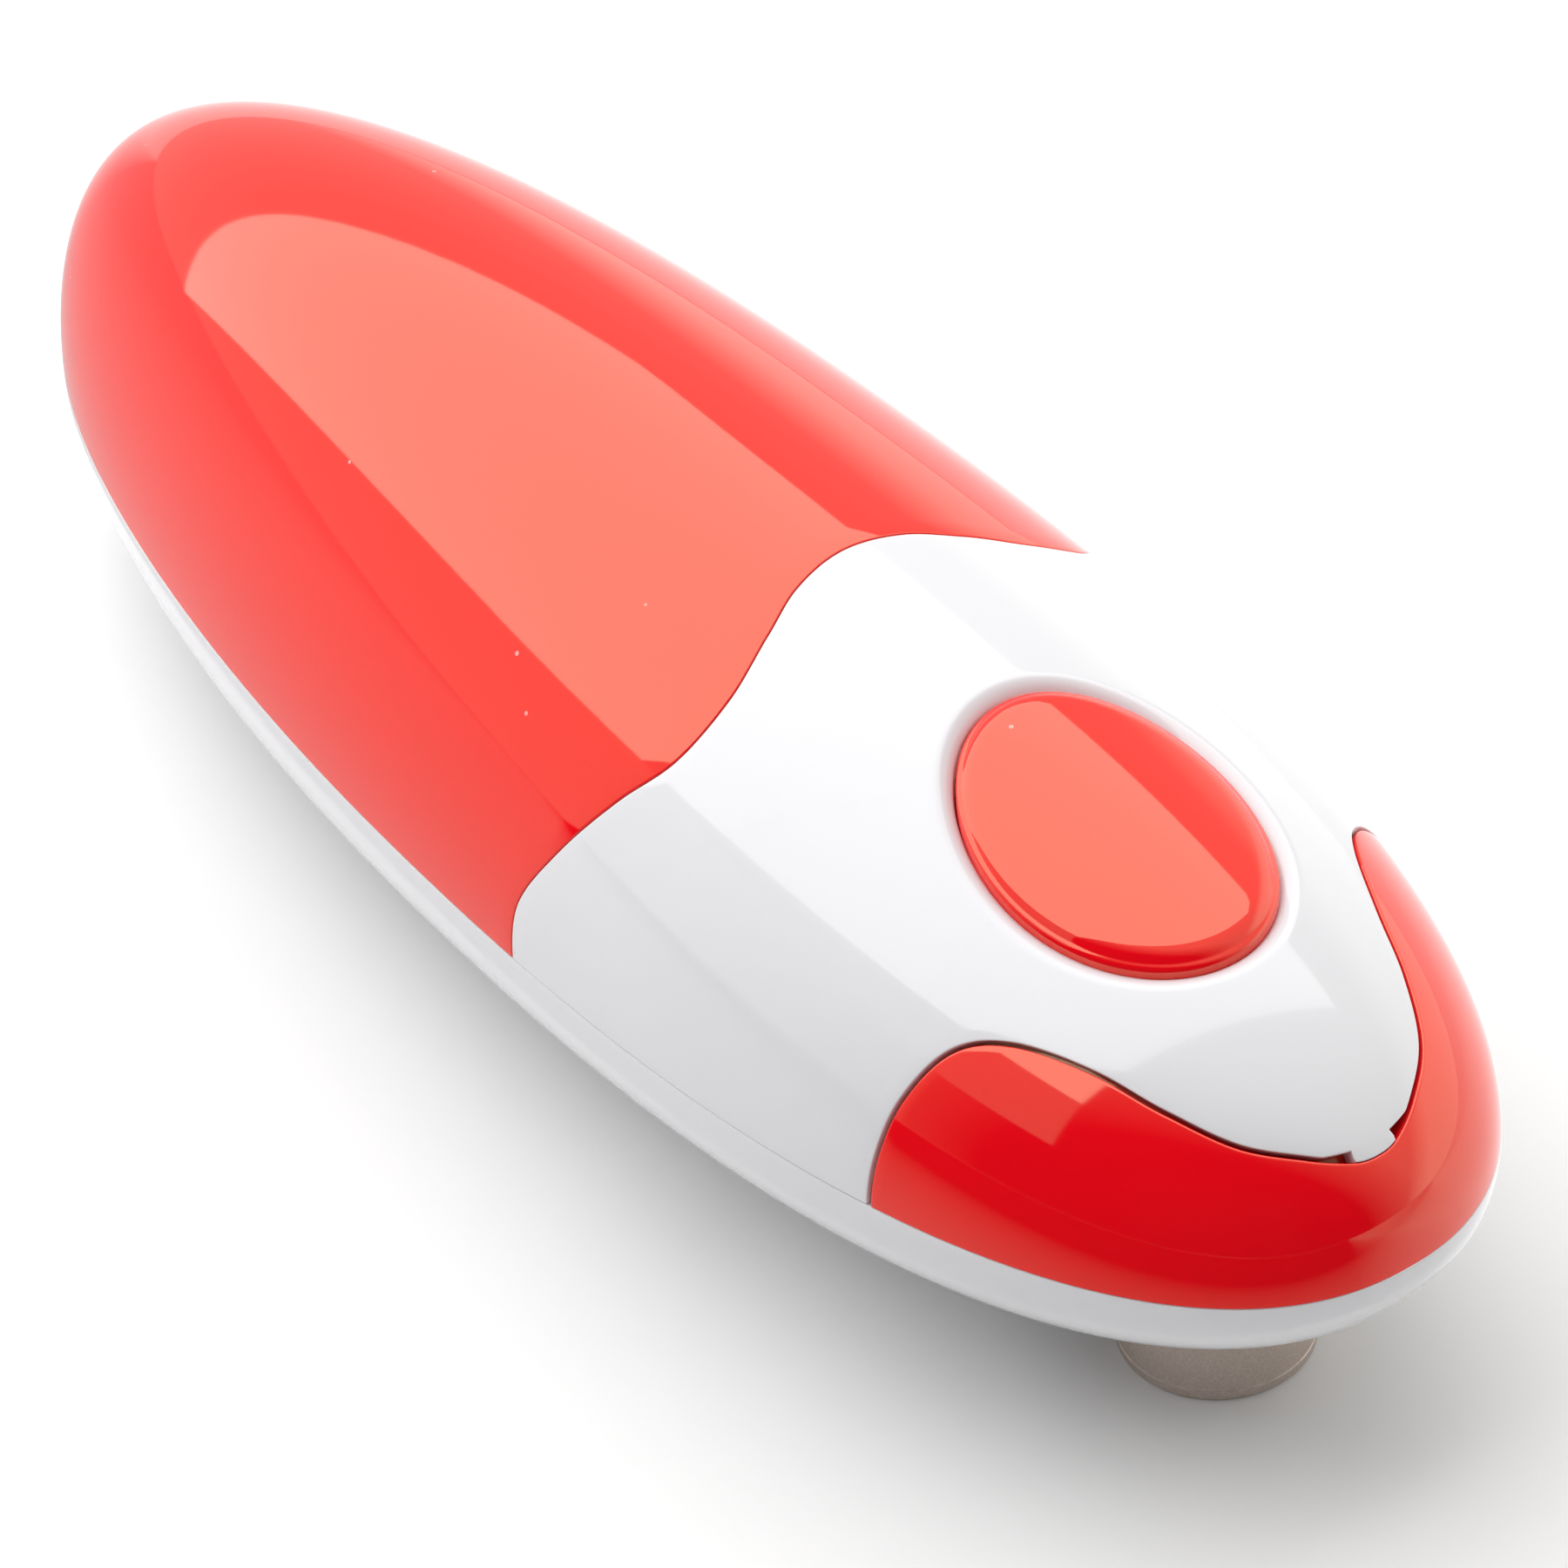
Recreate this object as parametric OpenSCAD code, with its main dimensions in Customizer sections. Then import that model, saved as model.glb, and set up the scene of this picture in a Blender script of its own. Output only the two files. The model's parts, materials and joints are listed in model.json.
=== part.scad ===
// Battery-powered one-touch can opener: a sealed oval casing with a push button on top,
// a geared motor inside, and a toothed drive wheel and an eccentric steel cutter barrel below.
// Frame: floor at z = 0, nose towards +X, +Z up, origin below the middle of the casing.

/* [Casing] */
// Length of the casing from tail to nose
body_l = 200; // [185:1:240]
// Nominal width of the casing
body_w = 65.6; // [61:0.1:80]
// Height of the upper covers above the parting line
top_h = 36.6; // [35:0.1:44]
// Depth of the lower shell below the parting line
bottom_h = 22.1; // [20:0.1:27]
// Wall thickness of the mouldings
wall = 2; // [1.6:0.1:2.4]
// Rise of the parting line towards the nose, in millimetres per millimetre
nose_rise = 0.041; // [0.03:0.001:0.05]
// Gap round the rear cover, which comes off
cover_gap = 0.3; // [0.2:0.05:0.5]
// Shadow gap between the white cover and the red nose trim
trim_gap = 0.5; // [0.3:0.05:0.8]

/* [Button] */
// Distance from the nose back to the middle of the button, on a casing 200 mm long
button_setback = 39.3; // [37:0.1:42]
// Length of the button
button_l = 32.2; // [26:0.1:36]
// Width of the button
button_w = 25; // [20:0.1:30]
// Gap round the button
button_gap = 0.35; // [0.25:0.05:0.6]
// Travel of the button
button_travel = 1.5; // [1:0.1:2]
// Diameter of the button's stem
stem_d = 7; // [5:0.1:8.4]

/* [Cutter] */
// Distance from the nose back to the middle of the steel barrel, on a casing 200 mm long
barrel_setback = 26.9; // [25:0.1:29]
// Diameter of the steel barrel
barrel_d = 18.2; // [15.2:0.1:22]
// Distance between the barrel's middle and the axis that it swings on
barrel_throw = 2.4; // [1.8:0.1:2.8]
// Gap for the can's rim when the cutter is open
rim_gap = 5; // [4.6:0.1:6]
// Diameter of the round cutter
cutter_d = 13; // [12:0.1:15]
// How far the cutter stands out of the barrel
cutter_reach = 0.8; // [0.6:0.1:1.2]
// Diameter of the journal that carries the barrel
journal_d = 8; // [7:0.1:10]
// Diameter of the toothed drive wheel
wheel_d = 11; // [9:0.1:12]

/* [Gears] */
// Module of the reduction gears
gear_m = 0.7; // [0.6:0.01:0.75]
// Teeth on the motor's pinion
pinion_n = 10; // [10:1:10]
// Teeth on each small gear
small_n = 12; // [12:1:12]
// Teeth on each large gear
large_n = 36; // [36:1:36]
// Teeth on the gear that swings the cutter
swing_n = 25; // [25:1:25]
// Teeth on the clutch gear
clutch_n = 20; // [20:1:20]
// Width of a gear's teeth
face_w = 2.7; // [2:0.05:2.8]
// Diameter of the drive shaft
shaft_d = 5; // [4:0.1:5.4]
// Diameter of each gear axle
axle_d = 3; // [2:0.1:3.4]
// Radial clearance of a shaft in its bore
run_gap = 0.05; // [0.03:0.01:0.08]

/* [Motor and battery] */
// Diameter of the motor
motor_d = 23; // [20:0.1:24]
// Height of the motor
motor_h = 22.5; // [18:0.1:23]
// Diameter of one cell
cell_d = 14.4; // [14:0.1:14.5]
// Length of one cell
cell_l = 50.2; // [49:0.1:50.5]
// Wall thickness of the battery tray
tray_wall = 1.2; // [1:0.1:1.6]

/* [Hidden] */
$fn = 48;

RED = [0.78, 0.02, 0.08];
WHITE = [0.94, 0.94, 0.95];
STEEL = [0.62, 0.60, 0.57];
NYLON = [0.90, 0.88, 0.80];
DARK = [0.15, 0.15, 0.17];
BRASS = [0.78, 0.62, 0.30];
GREEN = [0.10, 0.38, 0.20];

// ---- form of the casing: a rounded plan and side view, with oval cross-sections ----
half_l = body_l / 2;
stretch = body_l / 200;   // places along the casing keep their share of its length
tip_share = 0.9990;      // the skins stop just short of their points, with a small flat end
plan_p = 2.18;           // fullness of the plan view
plan_k = 0.205;          // the nose half is this much wider
top_p = 2.38;            // fullness of the side view above the parting line
top_q = 2.34;
top_k = -0.255;          // the tail half is this much higher
bottom_p = 2.70;         // fullness of the side view below the parting line
bottom_q = 2.30;
bottom_k = -0.045;
bottom_n = 2.20;         // squareness of the lower cross-sections

function clamp(v, lo, hi) = max(lo, min(hi, v));
function lerp(a, b, t) = a + (b - a) * t;
function bulge(u, p, q) = pow(1 - pow(abs(u), p), 1 / q);
function along(x, t) = clamp(x / (half_l - t), -tip_share, tip_share);
function half_w(x, t) = let (u = along(x, t))
    (body_w / 2 - t) * bulge(u, plan_p, plan_p) * (1 + plan_k * u);
function rise_h(x, t) = let (u = along(x, t))
    (top_h - t) * bulge(u, top_p, top_q) * (1 + top_k * u);
function drop_h(x, t) = let (u = along(x, t))
    (bottom_h - t) * bulge(u, bottom_p, bottom_q) * (1 + bottom_k * u);
// the parting line is set so that the lowest point of the belly just reaches the floor
part_z = max([for (x = [-half_l : half_l / 50 : half_l]) drop_h(x, 0) - nose_rise * x]);
function parting(x) = part_z + nose_rise * x;
function top_z(x, y) = parting(x)
    + rise_h(x, 0) * sqrt(max(0, 1 - pow(abs(y) / half_w(x, 0), 2)));
// height of the belly, t deep in its wall, and its highest place under the rim of a disc
function belly_z(x, y, t = 0) = parting(x) - drop_h(x, t)
    * pow(max(0, 1 - pow(abs(y) / half_w(x, t), bottom_n)), 1 / bottom_n);
function under_disc(c, r) =
    max([for (a = [0 : 15 : 345]) belly_z(c[0] + r * cos(a), c[1] + r * sin(a), wall)]);

// a point on the upper or lower skin: p = [x, angle round the section], t = depth in the wall
function upper_pt(p, t, lift) = [p[0], -half_w(p[0], t) * cos(p[1]),
    parting(p[0]) + lift + (rise_h(p[0], t) - lift) * sin(p[1])];
function lower_pt(p, t, lift) = let (c = cos(p[1]), s = sin(p[1])) [p[0],
    -half_w(p[0], t) * sign(c) * pow(abs(c), 2 / bottom_n),
    parting(p[0]) - drop_h(p[0], t) * pow(abs(s), 2 / bottom_n)];

// a smooth curve through a list of points, and its copy mirrored to the far side
function knot(k, i) = k[clamp(i, 0, len(k) - 1)];
function smooth_at(k, f) = let (i = min(floor(f), len(k) - 2), t = f - i,
    a = knot(k, i - 1), b = knot(k, i), c = knot(k, i + 1), d = knot(k, i + 2))
    0.5 * (2 * b + (c - a) * t + (2 * a - 5 * b + 4 * c - d) * t * t
        + (3 * b - a - 3 * c + d) * t * t * t);
function one_side(k, n) = [for (i = [0 : n]) smooth_at(k, i * (len(k) - 1) / n)];
function both_sides(k, n) = let (s = one_side(k, n))
    concat(s, [for (i = [n - 1 : -1 : 0]) [s[i][0], 180 - s[i][1]]]);
// an edge moved by g towards the nose and down, with r millimetres to a radian round the section
function moved(k, g, r) = [for (i = [0 : len(k) - 1]) let (
    d = knot(k, i + 1) - knot(k, i - 1), v = [d[0], d[1] * r * PI / 180], m = norm(v))
    [k[i][0] + g * v[1] / m, i == len(k) - 1 ? 90 : max(0, k[i][1] - g * v[0] / m * 180 / PI / r)]];

side_n = 18;             // steps from the parting line to the top of the casing
round_r = 24;
// the wavy seam behind the white cover: [distance from the nose, angle]
wave_knots = [[85.6, 0], [84.9, 11], [80.9, 24], [76.6, 37], [73.2, 48], [72.8, 60], [74.8, 71],
    [77, 80], [78, 90]];
// the edge of the nose trim, from the parting line round a tongue to the middle
tongue_knots = [[37.5, 0], [37.1, 13], [36.3, 27], [34.2, 40], [30, 47.5], [23, 52.5], [16.5, 54.7],
    [10.5, 59], [6.8, 69], [4.9, 80], [4.45, 90]];
function from_nose(k) = [for (p = k) [half_l - p[0] * stretch, p[1]]];
wave = both_sides(from_nose(wave_knots), side_n);
cover_edge = [for (p = wave) p - [cover_gap, 0]];
tongue = both_sides(from_nose(tongue_knots), side_n);
trim_side = moved(one_side(from_nose(tongue_knots), side_n), trim_gap, round_r);
trim_edge = concat(trim_side, [for (i = [side_n - 1 : -1 : 0])
    [trim_side[i][0], 180 - trim_side[i][1]]]);
function even_angles() = [for (i = [0 : 2 * side_n]) 90 * i / side_n];
function tip(end) = [for (a = even_angles()) [end * tip_share * half_l, a]];

// A closed shell of even thickness between two edges. Each edge is a list of [x, angle].
// spread is -1, 0, 1 or 2: rows crowd at the first edge, nowhere, at the last edge, or at both.
function share(j, m, spread) = spread == -1 ? 1 - cos(90 * j / m)
    : spread == 1 ? sin(90 * j / m) : spread == 2 ? (1 - cos(180 * j / m)) / 2 : j / m;
function shrunk(p, t) = abs(p[0]) < half_l * tip_share - 0.001 ? p
    : [p[0] * (half_l - t) / half_l, p[1]];

// faces with their points in the opposite order
function turned(faces) = [for (f = faces) [for (i = [len(f) - 1 : -1 : 0]) f[i]]];

module shell_patch(from, to, rows, spread, upper, lift = 0, t = wall) {
    n = len(from);
    function at(i, j, d) = let (p = lerp(shrunk(from[i], d), shrunk(to[i], d), share(j, rows, spread)))
        upper ? upper_pt(p, d, lift) : lower_pt(p, d, lift);
    skin = (rows + 1) * n;
    pts = concat([for (j = [0 : rows], i = [0 : n - 1]) at(i, j, 0)],
        [for (j = [0 : rows], i = [0 : n - 1]) at(i, j, t)]);
    closed_a = abs(from[0][0]) > half_l * tip_share - 0.001;
    closed_b = abs(to[0][0]) > half_l * tip_share - 0.001;
    function quad(a, b, c, d) = [[a, b, c], [a, c, d]];
    outer = [for (j = [0 : rows - 1], i = [0 : n - 2])
        each quad(j * n + i, (j + 1) * n + i, (j + 1) * n + i + 1, j * n + i + 1)];
    inner = [for (f = outer) [f[2] + skin, f[1] + skin, f[0] + skin]];
    sides = [for (j = [0 : rows - 1]) each concat(
        quad(j * n, j * n + skin, (j + 1) * n + skin, (j + 1) * n),
        quad(j * n + n - 1, (j + 1) * n + n - 1, (j + 1) * n + n - 1 + skin, j * n + n - 1 + skin))];
    b0 = rows * n;
    // an end is a rim between the skins, or a flat tip on each skin with one strip below them
    end_a = closed_a ? concat([for (i = [1 : n - 2]) [0, i, i + 1]],
            [for (i = [1 : n - 2]) [skin, skin + i + 1, skin + i]], quad(0, n - 1, skin + n - 1, skin))
        : [for (i = [0 : n - 2]) each quad(i, i + 1, i + 1 + skin, i + skin)];
    end_b = closed_b ? concat([for (i = [1 : n - 2]) [b0, b0 + i + 1, b0 + i]],
            [for (i = [1 : n - 2]) [b0 + skin, b0 + skin + i, b0 + skin + i + 1]],
            quad(b0, b0 + skin, b0 + skin + n - 1, b0 + n - 1))
        : [for (i = [0 : n - 2]) each quad(b0 + i, b0 + i + skin, b0 + i + 1 + skin, b0 + i + 1)];
    all_faces = concat(outer, inner, sides, end_a, end_b);
    polyhedron(points = pts, faces = upper ? turned(all_faces) : all_faces);
}

// The space inside the wall, d deep, above or below the parting line: it trims posts and bosses
module solid_half(d, upper, rows = 20, n = 24) {
    function at(i, j) = let (p = [-cos(180 * j / rows) * tip_share * (half_l - d), 180 * i / n])
        upper ? upper_pt(p, d, 0) : lower_pt(p, d, 0);
    pts = [for (j = [0 : rows], i = [0 : n]) at(i, j)];
    m = n + 1;
    skin = [for (j = [0 : rows - 1], i = [0 : n - 1]) each
        [[j * m + i, (j + 1) * m + i, (j + 1) * m + i + 1], [j * m + i, (j + 1) * m + i + 1, j * m + i + 1]]];
    flat = [for (j = [0 : rows - 1]) each
        [[j * m, j * m + n, (j + 1) * m + n], [j * m, (j + 1) * m + n, (j + 1) * m]]];
    ends = [for (i = [1 : n - 1]) each
        [[0, i, i + 1], [rows * m, rows * m + i + 1, rows * m + i]]];
    faces = concat(skin, flat, ends);
    polyhedron(points = pts, faces = upper ? turned(faces) : faces);
}

// ---- places of the mechanism, worked out from the barrel and the rim gap ----
barrel_x = half_l - barrel_setback * stretch;
swing_c = [barrel_x - barrel_throw * cos(45), -barrel_throw * sin(45)];
barrel_r = barrel_d / 2;
swing_m = 2 * norm([barrel_x - barrel_r - rim_gap - wheel_d / 2 - swing_c[0], swing_c[1]])
    / (swing_n + clutch_n);
drive_c = [barrel_x - barrel_r - rim_gap - wheel_d / 2, 0];
mesh_cd = gear_m * (small_n + large_n) / 2;
gear3_c = drive_c + mesh_cd * [cos(224.5), sin(224.5)];
gear2_c = gear3_c + mesh_cd * [cos(120), sin(120)];
gear1_c = gear2_c + mesh_cd * [cos(237), sin(237)];
motor_cd = gear_m * (pinion_n + large_n) / 2;
motor_c = gear1_c + motor_cd * [cos(132.7), sin(132.7)];

pillar_d = 5;
base_rim = pillar_d / 2 + 0.6;
pillars = [for (p = [[motor_c[0] - motor_d / 2 + 2, 10.5], [drive_c[0] + 6.5, 15.2]], s = [-1, 1])
    [p[0], s * p[1]]];
plate_r = barrel_r + barrel_throw + 1.9;
plate_over_base = 3;     // the cutter plate lies this much higher than the gearbox base
floor_gap = 0.3;
// underside of the gearbox base, high enough for both plates to clear the belly
base_z = max(13, under_disc(swing_c, plate_r) + floor_gap - plate_over_base,
    max([for (c = pillars) under_disc(c, base_rim)]) + floor_gap);
plate_t = 2;
level_z = base_z + plate_t + 0.3;
level_h = face_w + 0.35;
function level(k) = level_z + k * level_h;
top_plate_z = level(4) + 0.1;
motor_z = top_plate_z + plate_t;
cutter_plate_z = base_z + plate_over_base;
barrel_top = cutter_plate_z - 0.4;
hub_d = 5.6;
wheel_top = belly_z(drive_c[0] - wheel_d / 2, 0) - 0.4;
wheel_h = wheel_top - 1.4;
bush_d = shaft_d + 3;

board_z = motor_z + 4.5;
board_t = 1.6;
button_x = half_l - button_setback * stretch;
button_top = top_z(button_x, 0);
cap_t = 2.2;             // thickness of the button's cap
switch_floor = 0.8;      // thickness of the switch's floor
plunger_h = 2.8;
plunger_d = 3;
plunger_z = board_z + board_t + switch_floor + button_travel + 0.3;
stem_z = plunger_z + plunger_h;
seat_z = button_top - cap_t - 1.8;   // flat seat of the spring under the cap
guide_z = seat_z - 5.2;
guide_t = 1.4;

cells_z = 11 + cell_d / 2;
cell_pitch = cell_d + 0.4;
cells_gap = 8;           // room between the cells and the motor, for the tray's end and the wires
cells_x = motor_c[0] - motor_d / 2 - cells_gap - cell_l;
tray_x0 = cells_x - 5;
tray_x1 = cells_x + cell_l + 3;

board_posts = [for (p = [[drive_c[0] - 13, 10], [barrel_x + 0.5, 9.5]], s = [-1, 1]) [p[0], s * p[1]]];
post_d = 5.4;
// the rear shell posts stand just clear of the lowest large gear
post_reach = gear_m * (large_n / 2 + 0.8) + (post_d + 1) / 2 + 0.13;
rear_post = gear3_c + post_reach * [cos(238.9), sin(238.9)];
shell_posts = [for (p = [[rear_post[0], -rear_post[1]], [half_l - 38.6 * stretch, 21.7]], s = [-1, 1])
    [p[0], s * p[1]]];
screw_d = 2.6;
head_d = 4.6;
head_z = base_z + 2;     // underside of a shell screw's seat

module at2(c, z) { translate([c[0], c[1], z]) children(); }
module ring(d_out, d_in, h) {
    difference() {
        cylinder(d = d_out, h = h);
        translate([0, 0, -1]) cylinder(d = d_in, h = h + 2);
    }
}
module plate_of(points, r, h) {
    linear_extrude(h) hull() for (p = points) translate(p) circle(r = r, $fn = 32);
}

// ---- gears with involute flanks ----
press_a = 25;            // pressure angle
function inv(a) = tan(a) * 180 / PI - a;
function flank_a(r, rb) = r <= rb ? 0 : inv(acos(rb / r));
module spur(n, m, h, turn) {
    rp = n * m / 2;
    rb = rp * cos(press_a);
    ra = rp + 0.8 * m;
    rf = rp - 1.05 * m;
    half_tooth = 90 / n * 0.90;
    radii = [rf, max(rb, rf + 0.05), lerp(max(rb, rf + 0.05), ra, 0.35), lerp(rb, ra, 0.7), ra];
    function half_at(r) = half_tooth + inv(press_a) - flank_a(r, rb);
    outline = [for (k = [0 : n - 1]) each concat(
        [for (r = radii) let (a = turn + 360 * k / n - half_at(r)) r * [cos(a), sin(a)]],
        [for (i = [4 : -1 : 0]) let (r = radii[i], a = turn + 360 * k / n + half_at(r))
            r * [cos(a), sin(a)]])];
    linear_extrude(h) polygon(outline);
}
function bearing(a, b) = atan2(b[1] - a[1], b[0] - a[0]);
module bored(d, z0, z1) {
    difference() {
        children();
        translate([0, 0, z0 - 1]) cylinder(d = d + 2 * run_gap, h = z1 - z0 + 2);
    }
}

// ---- casing ----
module boss(c, z0, z1, d) { at2(c, z0) cylinder(d = d, h = z1 - z0); }

module lower_shell() {
    turret = 2 * (barrel_r + barrel_throw + 0.5);
    color(WHITE) difference() {
        union() {
            shell_patch(tip(-1), tip(1), 34, 2, false);
            intersection() {
                solid_half(0.7, false);
                union() {
                    for (c = shell_posts) boss(c, 0, 40, post_d + 1);
                    difference() {
                        at2(swing_c, 0) cylinder(d = turret + 3, h = cutter_plate_z);
                        translate([drive_c[0] - 20, -30, -1])
                            cube([20 + bush_d / 2 + 0.6, 60, cutter_plate_z + 2]);
                    }
                    for (c = pillars) boss(c, 0, base_z, pillar_d);
                }
            }
        }
        at2(swing_c, -1) cylinder(d = turret, h = 60);
        at2(drive_c, -1) cylinder(d = bush_d + 0.4, h = 30);
        for (c = shell_posts) {
            at2(c, -1) cylinder(d = head_d + 0.4, h = head_z + 1);
            at2(c, 0) cylinder(d = screw_d + 0.4, h = 60);
        }
    }
}

module mid_cover() {
    color(WHITE) difference() {
        union() {
            shell_patch(wave, tongue, 12, 0, true);
            intersection() {
                solid_half(0.7, true);
                for (c = shell_posts) boss(c, 0, 60, post_d);
            }
        }
        translate([button_x, 0, 30]) scale([1, button_w / button_l, 1])
            cylinder(d = button_l + 2 * button_gap, h = 40);
        for (c = shell_posts) at2(c, 0) cylinder(d = screw_d, h = 36);
    }
}

module nose_trim() {
    color(RED) shell_patch(trim_edge, tip(1), 10, 1, true);
}

module rear_cover() {
    color(RED) shell_patch(tip(-1), cover_edge, 18, -1, true, cover_gap);
}

// ---- button ----
// outline of the cap from the middle of its top to the middle of its underside: [share, height]
cap_profile = [[0.3, 0.28], [0.6, 0.2], [0.84, 0.05], [0.94, -0.08], [0.985, -0.35], [1, -0.8],
    [1, -2.7], [1.09, -2.8], [1.09, -3.8], [0.86, -3.8], [0.84, -cap_t], [0.4, -cap_t]];
module button() {
    n = 40;
    rings = len(cap_profile);
    function at(p, a) = let (x = button_x + p[0] * button_l / 2 * cos(a),
        y = p[0] * button_w / 2 * sin(a)) [x, y, top_z(x, y) + p[1]];
    pts = concat([for (p = cap_profile, i = [0 : n - 1]) at(p, 360 * i / n)],
        [[button_x, 0, button_top + 0.3], [button_x, 0, button_top - cap_t]]);
    last = (rings - 1) * n;
    color(RED) union() {
        polyhedron(points = pts, faces = turned(concat(
            [for (j = [0 : rings - 2], i = [0 : n - 1]) let (k = (i + 1) % n) each
                [[j * n + k, j * n + i, (j + 1) * n + i], [j * n + k, (j + 1) * n + i, (j + 1) * n + k]]],
            [for (i = [0 : n - 1]) [rings * n, i, (i + 1) % n]],
            [for (i = [0 : n - 1]) [rings * n + 1, last + (i + 1) % n, last + i]])));
        translate([button_x, 0, stem_z]) cylinder(d = stem_d, h = button_top - cap_t + 0.8 - stem_z);
        translate([button_x, 0, seat_z]) cylinder(d = stem_d + 4.6, h = button_top - cap_t + 0.4 - seat_z);
    }
}

// A round-wire coil from z0 to z1
module coil(r, wire, z0, z1, turns, steps = 14, sides = 6) {
    n = turns * steps;
    function at(j, i) = let (a = 360 * j / steps, w = 360 * i / sides)
        [(r + wire / 2 * cos(w)) * cos(a), (r + wire / 2 * cos(w)) * sin(a),
            lerp(z0 + wire / 2, z1 - wire / 2, j / n) + wire / 2 * sin(w)];
    polyhedron(points = [for (j = [0 : n], i = [0 : sides - 1]) at(j, i)],
        faces = turned(concat(
            [for (j = [0 : n - 1], i = [0 : sides - 1]) let (k = (i + 1) % sides) each
                [[j * sides + k, j * sides + i, (j + 1) * sides + i],
                 [j * sides + k, (j + 1) * sides + i, (j + 1) * sides + k]]],
            [[for (i = [0 : sides - 1]) i]], [[for (i = [sides - 1 : -1 : 0]) n * sides + i]])));
}

module button_spring() {
    color(STEEL) translate([button_x, 0, 0])
        coil(stem_d / 2 + 1, 0.6, guide_z + guide_t, seat_z, 4);
}

guide_half_x = 9.5;
guide_half_y = 7;
module button_guide() {
    color(NYLON) translate([button_x, 0, 0]) difference() {
        union() {
            translate([-guide_half_x, -guide_half_y, guide_z])
                cube([2 * guide_half_x, 2 * guide_half_y, guide_t]);
            for (sx = [-1, 1], sy = [-1, 1])
                translate([sx * (guide_half_x - 1.5) - 1.5, sy * (guide_half_y - 1.5) - 1.5, board_z + board_t])
                    cube([3, 3, guide_z - board_z - board_t + 0.5]);
        }
        translate([0, 0, guide_z - 1]) cylinder(d = stem_d + 2 * run_gap, h = guide_t + 2);
    }
}

module control_board() {
    color(GREEN) difference() {
        translate([drive_c[0] - 16, -13, board_z]) cube([barrel_x - drive_c[0] + 19.5, 26, board_t]);
        for (c = board_posts) at2(c, board_z - 1) cylinder(d = 2.4, h = 4);
    }
}

module screw(d, head, length, head_h) {
    union() {
        translate([0, 0, -length]) cylinder(d = d, h = length);
        cylinder(d = head, h = head_h);
    }
}

module board_screws() {
    color(STEEL) for (c = board_posts) at2(c, board_z + board_t) screw(2, 3.8, 5, 1.4);
}

module switch_body() {
    color(DARK) translate([button_x, 0, board_z + board_t]) difference() {
        translate([-3.5, -3.5, 0]) cube([7, 7, switch_floor + plunger_h]);
        translate([0, 0, switch_floor]) cylinder(d = plunger_d + 2 * run_gap, h = plunger_h + 1);
    }
}

module switch_plunger() {
    color(BRASS) translate([button_x, 0, plunger_z]) cylinder(d = plunger_d, h = plunger_h);
}

// ---- battery ----
module cell_places() {
    for (sy = [-1, 1], k = [0, 1]) translate([cells_x, sy * cell_pitch / 2, cells_z + k * cell_pitch])
        rotate([0, 90, 0]) children();
}

module battery_tray() {
    r = cell_d / 2 + 0.4;
    y = cell_pitch / 2;
    module profile(grow) {
        hull() {
            for (s = [-1, 1]) translate([s * y, cells_z]) circle(r = r + grow, $fn = 32);
            for (s = [-1, 1]) translate([s * (y + r + grow) - (s > 0 ? 1 : 0), cells_z + cell_pitch])
                square([1, 1]);
        }
    }
    color(DARK) translate([tray_x0, 0, 0]) rotate([90, 0, 90]) difference() {
        linear_extrude(tray_x1 - tray_x0) profile(tray_wall);
        translate([0, 0, tray_wall]) linear_extrude(tray_x1 - tray_x0 - 2 * tray_wall) union() {
            profile(0);
            translate([-y - r, cells_z + cell_pitch]) square([2 * (y + r), 5]);
        }
    }
}

module battery_cells() {
    color([0.18, 0.18, 0.2]) cell_places() union() {
        cylinder(d = cell_d, h = cell_l - 1.4);
        cylinder(d = 5.4, h = cell_l - 0.2);
    }
}

module battery_springs() {
    color(STEEL) for (sy = [-1, 1], k = [0, 1])
        translate([tray_x0 + tray_wall + 0.5, sy * cell_pitch / 2, cells_z + k * cell_pitch])
            rotate([0, 90, 0]) coil(3.4, 0.6, 0, cells_x - tray_x0 - tray_wall - 0.55, 3);
}

module contact_plates() {
    h = cell_pitch + cell_d * 0.6;
    z = cells_z - cell_d * 0.3;
    color(BRASS) for (sy = [-1, 1], x = [tray_x0 + tray_wall + 0.05, tray_x1 - tray_wall - 0.45])
        translate([x, sy * cell_pitch / 2 - 5, z]) cube([0.4, 10, h]);
}

// A thin wire along chosen points
module wire_tube(points, d, sides = 8) {
    n = len(points);
    function dir(i) = let (v = points[min(i + 1, n - 1)] - points[max(i - 1, 0)]) v / norm(v);
    function side_of(i) = let (c = cross(dir(i), [0.31, 0.92, 0.24])) c / norm(c);
    function at(i, k) = let (s = side_of(i), u = cross(dir(i), s), a = 360 * k / sides)
        points[i] + d / 2 * (cos(a) * s + sin(a) * u);
    polyhedron(points = [for (i = [0 : n - 1], k = [0 : sides - 1]) at(i, k)],
        faces = concat(
            [for (i = [0 : n - 2], k = [0 : sides - 1]) let (m = (k + 1) % sides) each
                [[i * sides + m, i * sides + k, (i + 1) * sides + k],
                 [i * sides + m, (i + 1) * sides + k, (i + 1) * sides + m]]],
            [[for (k = [0 : sides - 1]) k]], [[for (k = [sides - 1 : -1 : 0]) (n - 1) * sides + k]]));
}

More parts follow.
